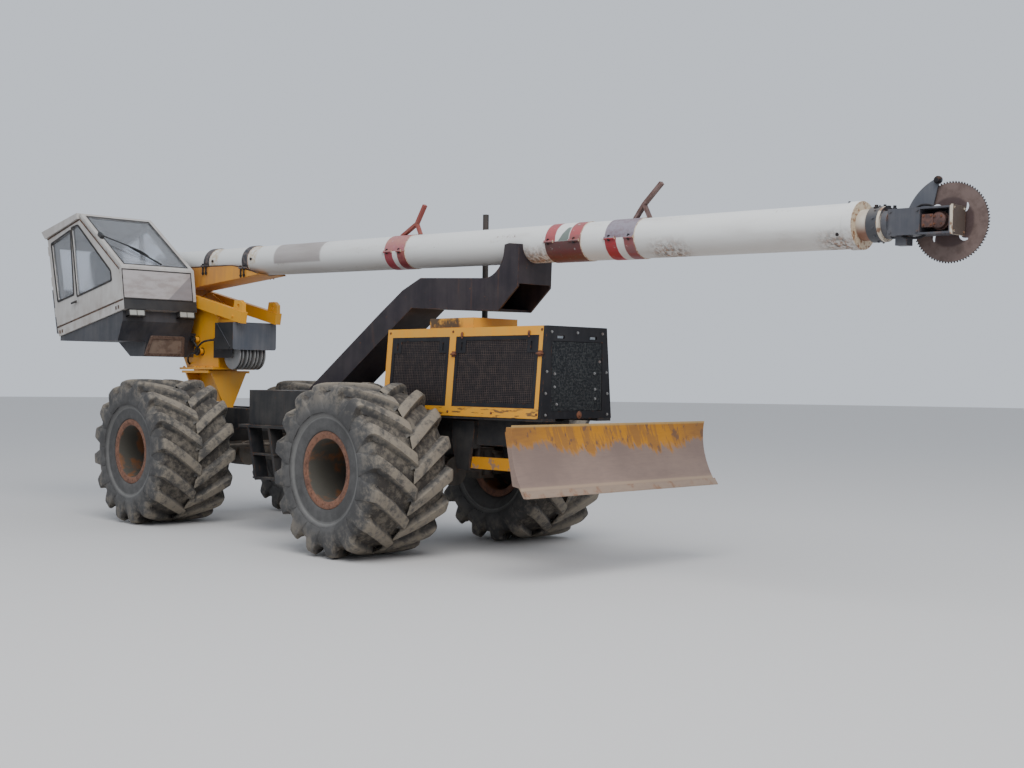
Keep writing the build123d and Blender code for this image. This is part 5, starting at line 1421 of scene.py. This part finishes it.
# Boom: one round tube with raised bands, small flanges on the wraps, straps that clamp it in its cradle
boomForm = {"rear": -5.750, "front": 4.836, "radius": 0.178, "wall": 0.010, "bore": 0.1203,
            "collar": (4.749, 0.188), "raised": 0.006,
            "wraps": [(-0.819, -0.481), (1.579, 2.031), (2.329, 2.672)],
            "straps": [(-4.459, -4.326), (-3.586, -3.462)],
            "flanges": [(-0.850, -0.690), (-0.612, -0.530), (1.560, 1.690), (1.890, 2.020), (2.310, 2.455),
                        (2.560, 2.668)],
            "flangeSection": [(0.170, -0.013), (0.197, -0.013), (0.199, -0.010), (0.199, 0.010),
                              (0.197, 0.013), (0.170, 0.013)],
            "endBolts": (90, 205, 335), "endBoltsAlong": 4.705,
            "cradleHalf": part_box("boom_cradle")[1][1], "cradleTop": [(-4.950, 3.113), (-3.365, 3.081),
                                                                     (-2.790, 2.953)]}


def outerTube(look):
    radius, raised = look["radius"], look["radius"] + look["raised"]
    profile = [(look["rear"], 0.0), (look["rear"], radius - 0.004), (look["rear"] + 0.004, radius)]
    for low, high in look["straps"] + look["wraps"]:
        profile += [(low - 0.0015, radius), (low, raised - 0.001), (low + 0.001, raised),
                    (high - 0.001, raised), (high, raised - 0.001), (high + 0.0015, radius)]
    start, reach = look["collar"]
    profile += [(start - 0.001, radius), (start, reach - 0.002), (start + 0.002, reach),
                (look["front"] - 0.003, reach), (look["front"], reach - 0.003), (look["front"], look["bore"]),
                (start + 0.010, look["bore"]), (start + 0.010, radius - look["wall"]),
                (look["rear"] + 0.014, radius - look["wall"]), (look["rear"] + 0.014, 0.0)]
    tube = Form()
    tube.lathe(boomPoint(0, 0, 0), boomAhead, profile, steps=96)
    for low, high in look["flanges"]:
        for side in (-1, 1):
            section = [(side * y, up) for y, up in look["flangeSection"]]
            tube.loft([[boomPoint(along, y, up) for y, up in section] for along in (low, high)])
    placeForm("outer_tube", tube, "boom", "boom_white", replaced=["outer_boom"])


def boomBolts(look):
    spots = []
    for low, high in look["flanges"]:
        for side in (-1, 1):
            for up in (-1, 1):
                spots.append((boomPoint((low + high) / 2, side * 0.189, up * 0.013), boomUp * up))
    for turn in [radians(value) for value in look["endBolts"]]:
        out = Vector((0, cos(turn), 0)) + boomUp * sin(turn)
        spots.append((boomPoint(look["endBoltsAlong"], 0, 0) + out * look["radius"], out))
    placeBolts("boom_bolts", spots, 0.010, 0.012, "boom", "boom_white", "meshBlack")


def cradleLevel(look, x):  # the height of the cradle's top edge
    top = look["cradleTop"]
    (x0, z0), (x1, z1) = top[:2] if x < top[1][0] else top[1:]
    return z0 + (z1 - z0) * (x - x0) / (x1 - x0)


def boomStraps(look):
    straps, studs = Form(), Form()
    stud = [(0, 0), (0, 0.015), (0.016, 0.015), (0.017, 0.009), (0.110, 0.009), (0.111, 0.015),
            (0.132, 0.015), (0.134, 0.008), (0.146, 0.008), (0.146, 0)]
    pin = [(0, 0), (0, 0.016), (0.018, 0.016), (0.020, 0.012), (0.020, 0)]
    inner, outer = look["radius"] + 0.0055, look["radius"] + 0.0115
    for low, high in look["straps"]:
        wide = high - low - 0.008
        band = [(0, inner), (0, outer - 0.0015), (0.003, outer), (wide - 0.003, outer),
                (wide, outer - 0.0015), (wide, inner)]
        straps.lathe(boomPoint(low + 0.004, 0, 0), boomAhead, band, steps=96, closed=True)
        x = boomPoint((low + high) / 2, 0, 0).x
        level = cradleLevel(look, x) + 0.004
        for side in (-1, 1):
            near, far = sorted((side * 0.180, side * (look["cradleHalf"] + 0.034)))
            straps.block((x - 0.060, near, level), (x + 0.060, far, level + 0.022), 0.003)
            for away in (-0.036, 0.036):
                studs.lathe((x + away, side * (look["cradleHalf"] + 0.017), level + 0.040), (0, 0, -1), stud,
                            steps=6)
        studs.lathe(boomPoint(high + 0.075, -look["radius"] + 0.004, 0.012), (0, -1, 0), pin, steps=20)
    placeForm("boom_straps", straps, "boom", "boom_white", "strapIron")
    placeForm("strap_studs", studs, "boom", "boom_white", "meshBlack")
    reach = look["cradleHalf"] - 0.004
    edges = [[(x, side * reach, z + 0.001) for x, z in look["cradleTop"]] for side in (-1, 1)]
    seam = line("cradle_seam", edges, 0.007, "seamBrown", sides=8, smooth=3)
    place("cradle_seam", seam, "boom", "cradle_tan", "seamBrown")


outerTube(boomForm)
boomBolts(boomForm)
boomStraps(boomForm)
print("boom ready")

# Cab: window seals, seams, the sill's slots, the wiper, lamp bezels and the hatch under the floor
# Outlines run ahead along the tilted floor and up square to it, from the floor's front lower corner
cabForm = {
    "right": -1.300, "left": -0.310,
    "windows": [[(-1.619, 0.454), (-1.696, 1.234), (-1.143, 1.276), (-1.172, 0.451)],
                [(-1.076, 0.409), (-1.102, 1.300), (-0.930, 1.292), (-0.171, 0.527), (-0.166, 0.413)]],
    "seams": [[(-1.800, 1.312), (-1.806, 1.326), (-0.860, 1.362), (-0.858, 1.348)],
              [(-0.862, 1.338), (-0.846, 1.352), (0.046, 0.514), (0.046, 0.494)]],
    "sillSeam": [(-1.690, 0.112), (-1.692, 0.128), (0.092, 0.128), (0.092, 0.112)],
    "slots": [-1.640, -1.575, -0.115, -0.055], "slotWidth": 0.028, "slotSpan": (0.030, 0.072),
    "handle": (-1.120, 0.335), "rearPlate": [(-1.701, 0.050), (-1.745, 0.050), (-1.796, 0.640),
                                             (-1.7475, 0.640)],
    "rearPlateWidth": 0.970, "roofBolts": [(-1.020, 1.442), (-1.86, 1.443)], "roofBoltSides": (-1.27, -0.34),
}
# The front: points on the screen are down from its top edge, to the side and out of it
# A strip is its two ends in height or down the screen, then its right and left
frontForm = {
    "screenTop": (-0.853, 1.430), "screenFoot": (0.100, 0.530), "face": 0.1006,
    "pane": [(0.145, -1.288), (0.145, -0.366), (0.482, -0.366), (0.482, -1.288)], "paneThick": 0.0034,
    "paneStrips": [(0.128, 0.140, -1.296, -0.358), (0.487, 0.499, -1.296, -0.358),
                   (0.128, 0.499, -1.299, -1.290), (0.128, 0.499, -0.364, -0.355)], "paneStripThick": 0.006,
    "screenStrips": [(0.055, 1.257, -1.2445, -1.2310), (0.055, 1.257, -0.3790, -0.3655),
                     (0.055, 0.067, -1.231, -0.379), (1.245, 1.257, -1.231, -0.379)],
    "screenStripThick": 0.004,
    "wiperArm": [(0.600, -1.262, 0.012), (0.640, -1.235, 0.030), (0.930, -0.930, 0.038),
                 (1.060, -0.830, 0.026)],
    "wiperBlades": [[(0.820, -0.985, 0.014), (1.030, -0.850, 0.014), (1.225, -0.730, 0.014)],
                    [(0.850, -0.955, 0.008), (1.060, -0.822, 0.008), (1.225, -0.722, 0.008)]],
    "wiperMotor": (0.600, -1.272, 0.018), "wiperLean": radians(33),
    "lamps": [(-1.240, -1.030), (-0.560, -0.350)], "lampFoot": -0.070, "lampBack": 0.030, "lampFront": 0.104,
    "lampLip": 0.006, }
hatchForm = {"foot": (-4.205, -0.925, 1.962), "head": (-4.125, -0.925, 2.215),
             "outline": [(0.015, 0.004), (0.560, 0.004), (0.520, 0.262), (0.065, 0.262)], "rim": 0.036}


def cabPoint(ahead, up, y):
    x, z = cabCorner
    level, rise = cos(cabPitch), sin(cabPitch)
    return Vector((x + ahead * level - up * rise, y, z + ahead * rise + up * level))


cabAhead = cabPoint(1, 0, 0) - cabPoint(0, 0, 0)
cabUp = cabPoint(0, 1, 0) - cabPoint(0, 0, 0)


def screenPoint(down, y, out):
    top, foot = Vector(frontForm["screenTop"]), Vector(frontForm["screenFoot"])
    run = (foot - top).normalized()
    spot = top + run * down + Vector((-run.y, run.x)) * out
    return cabPoint(spot.x, spot.y, y)


def cabSides(look):
    low, high = look["slotSpan"]
    slots = [[(u, low), (u, high), (u + look["slotWidth"], high), (u + look["slotWidth"], low)]
             for u in look["slots"]]
    for side, face, body, out in (("right", look["right"], "door", -1), ("left", look["left"], "turret", 1)):
        at, seals = planeFrame(cabPoint(0, 0, face + out * 0.0035), cabAhead, cabUp), []
        for window in look["windows"]:
            outer, inner = rounded(grown(window, 0.016), 0.030), rounded(grown(window, -0.007), 0.022)
            seals.append(cutPlate("seal", outer, [inner], 0.007, at))
        place(f"{side}_window_seals", joined("seals", seals), body, "cab_dark", "sealBlack")
        for name, outlines, carrier, thick in (("side_seams", look["seams"], body, 0.004),
                                               ("sill_seam", [look["sillSeam"]] + slots, "turret", 0.003)):
            strips = Form()
            for outline in outlines:
                strips.plate([cabPoint(u, w, face + out * 0.0003) for u, w in outline], (0, out * thick, 0))
            placeForm(f"{side}_{name}", strips, carrier, "cab_dark", "seamBrown", smooth=False)


def cabFittings(look):
    u, w = look["handle"]
    handle = Form()
    for away in (-0.010, 0.010):
        handle.lathe(cabPoint(u + away, w, look["right"] - 0.0005), (0, -1, 0),
                     [(0, 0), (0, 0.007), (0.030, 0.007), (0.030, 0)], steps=12)
    centre, reach = cabPoint(u, w, look["right"] - 0.034), Vector((0.075, 0.007, 0.012))
    handle.block(centre - reach, centre + reach, 0.005, Matrix.Rotation(-cabPitch, 3, "Y"), centre)
    placeForm("door_handle", handle, "door", "cab_dark", "sealBlack")
    rear = Form()
    rear.plate([cabPoint(u, w, look["right"] + 0.010) for u, w in look["rearPlate"]],
               (0, look["rearPlateWidth"], 0), 0.006)
    placeForm("rear_guard_plate", rear, "turret", "cab_dark", smooth=False)


def strip(points, thickness):  # one flat strip as a mesh of its own
    form = Form()
    form.plate(points, thickness)
    return form.mesh("strip")


def cabFront(look):
    face = look["face"]
    pane = strip([cabPoint(face, w, y) for w, y in look["pane"]], cabAhead * look["paneThick"])
    place("front_pane", pane, "turret", "cab_glass", "cloudedPane")
    arm = line("arm", [[screenPoint(*point) for point in look["wiperArm"]]], 0.009, "hoseBlack")
    blades = line("blades", [[screenPoint(*point) for point in path] for path in look["wiperBlades"]], 0.011,
                  "hoseBlack", sides=6)
    box = Form()
    centre, reach = screenPoint(*look["wiperMotor"]), Vector((0.05, 0.022, 0.03))
    box.block(centre - reach, centre + reach, 0.008, Matrix.Rotation(look["wiperLean"], 3, "Y"), centre)
    wiper = joined("screen_wiper", [arm, blades, box.mesh("motor")], smooth=True)
    place("screen_wiper", wiper, "turret", "cab_dark", "hoseBlack")
    edges = []
    for low, high, right, left in look["paneStrips"]:
        corners = [cabPoint(face, w, y) for w, y in ((low, right), (low, left), (high, left), (high, right))]
        edges.append(strip(corners, cabAhead * look["paneStripThick"]))
    out = screenPoint(0, 0, look["screenStripThick"]) - screenPoint(0, 0, 0)
    for low, high, right, left in look["screenStrips"]:
        corners = ((low, right), (high, right), (high, left), (low, left))
        edges.append(strip([screenPoint(down, y, 0.0005) for down, y in corners], out))
    place("screen_seal", joined("screen_seal", edges), "turret", "cab_dark", "sealBlack")


def lampBezels(look):
    foot, back, front, lip = (look[key] for key in ("lampFoot", "lampBack", "lampFront", "lampLip"))
    bezels = []
    for low, high in look["lamps"]:
        form = Form()
        right, left, under = low - lip, high + lip, foot - 0.014
        for start, end, w0, w1 in ((right, left, -lip, lip), (right, left, under, foot),
                                   (right, low + lip, under, lip), (high - lip, left, under, lip)):
            section = ((back, w0), (front, w0), (front, w1), (back, w1))
            form.loft([[cabPoint(u, w, y) for u, w in section] for y in (start, end)])
        middle = (low + high) / 2
        section = ((0.0985, foot), (0.1005, foot), (0.1005, 0.0), (0.0985, 0.0))
        form.loft([[cabPoint(u, w, y) for u, w in section] for y in (middle - 0.004, middle + 0.004)])
        bezels.append(form.mesh("bezel"))
    place("lamp_bezels", joined("lamp_bezels", bezels), "turret", "cab_dark", "sealBlack")


def underbodyHatch(look):  # rusty, on the underbody's lower front face
    foot, head = Vector(look["foot"]), Vector(look["head"])
    at = planeFrame(foot, (0, 1, 0), head - foot)
    opening = rounded(grown(look["outline"], -look["rim"]), 0.015)
    rim = cutPlate("hatch", rounded(look["outline"], 0.02), [opening], 0.030, at)
    place("underbody_hatch_rim", rim, "turret", "cab_dark", "hatchRust")
    panel = cutPlate("panel", grown(look["outline"], 0.002 - look["rim"]), [], 0.010, at)
    place("underbody_hatch", panel, "turret", "cab_dark", "hatchTan")


cabSides(cabForm)
cabFittings(cabForm)
cabFront(frontForm)
lampBezels(frontForm)
underbodyHatch(hatchForm)
roofSpots = [(cabPoint(u, w, y), cabUp) for u, w in cabForm["roofBolts"] for y in cabForm["roofBoltSides"]]
placeBolts("roof_bolts", roofSpots, 0.012, 0.006, "turret", "cab_dark", "seamBrown")
print("cab ready")

# Seat: two crowned cushions on a pressed base. A cushion's sizes are length, width and thickness
seatForm = {
    "middle": -0.805, "crown": 0.16, "fill": 0.75, "cuts": 7,
    "cushions": [("seat_cushion", (-0.910, 0.392), (0.530, 0.480, 0.112), -cabPitch, ["operator_seat"]),
                 ("seat_back", (-1.155, 0.745), (0.600, 0.460, 0.105), radians(90 - 6.7) - cabPitch, [])],
    "channel": 0.42, "channelWidth": 0.09, "channelDeep": 0.10,
    "baseMiddle": (-0.925, -0.80), "base": [(0.041, 0.20, 0.17), (0.075, 0.19, 0.165), (0.090, 0.10, 0.10),
                                            (0.230, 0.10, 0.10), (0.250, 0.20, 0.19), (0.330, 0.22, 0.20)],
}


def softSlab(name, centre, sizes, turn, look):  # a cushion whose faces swell and whose sides pull in
    build = bmesh.new()
    bmesh.ops.create_cube(build, size=1)
    bmesh.ops.subdivide_edges(build, edges=build.edges, cuts=look["cuts"], use_grid_fill=True)
    for vert in build.verts:
        x, y, z = vert.co * 2
        swell = (1 - x ** 4) * (1 - y ** 4)
        channel = max(0, 1 - abs(abs(y) - look["channel"]) / look["channelWidth"]) * (1 - abs(x) ** 6)
        thick = 1 + look["crown"] * (swell - 0.35) - (look["channelDeep"] * channel if z > 0.5 else 0)
        pull = (1 - 0.05 * abs(z) ** 3) * (1 - 0.045 * abs(x * y) ** 3)
        vert.co = turn @ (Vector((x * sizes[0] * pull, y * sizes[1] * pull,
                                  z * sizes[2] * thick)) / 2) + centre
    bmesh.ops.recalc_face_normals(build, faces=build.faces)
    made = bpy.data.meshes.new(name)
    build.to_mesh(made)
    build.free()
    made.shade_smooth()
    return made


def seat(look):
    for name, (u, w), sizes, lean, replaced in look["cushions"]:
        mesh = softSlab(name, cabPoint(u, w, look["middle"]), sizes, Matrix.Rotation(lean, 3, "Y"), look)
        piece = place(name, mesh, "turret", "seat_black", "seatVinyl", replaced)
        softer = piece.modifiers.new("softer", "SUBSURF")
        softer.levels = softer.render_levels = 1
    u, y = look["baseMiddle"]
    square = ((-1, -1), (1, -1), (1, 1), (-1, 1))
    base = Form()
    rings = [[cabPoint(u + a * half, w, y + b * wide) for a, b in square] for w, half, wide in look["base"]]
    base.loft(rings)
    placeForm("seat_base", base, "turret", "seat_black", "meshBlack", smooth=False)


seat(seatForm)
print("seat ready")
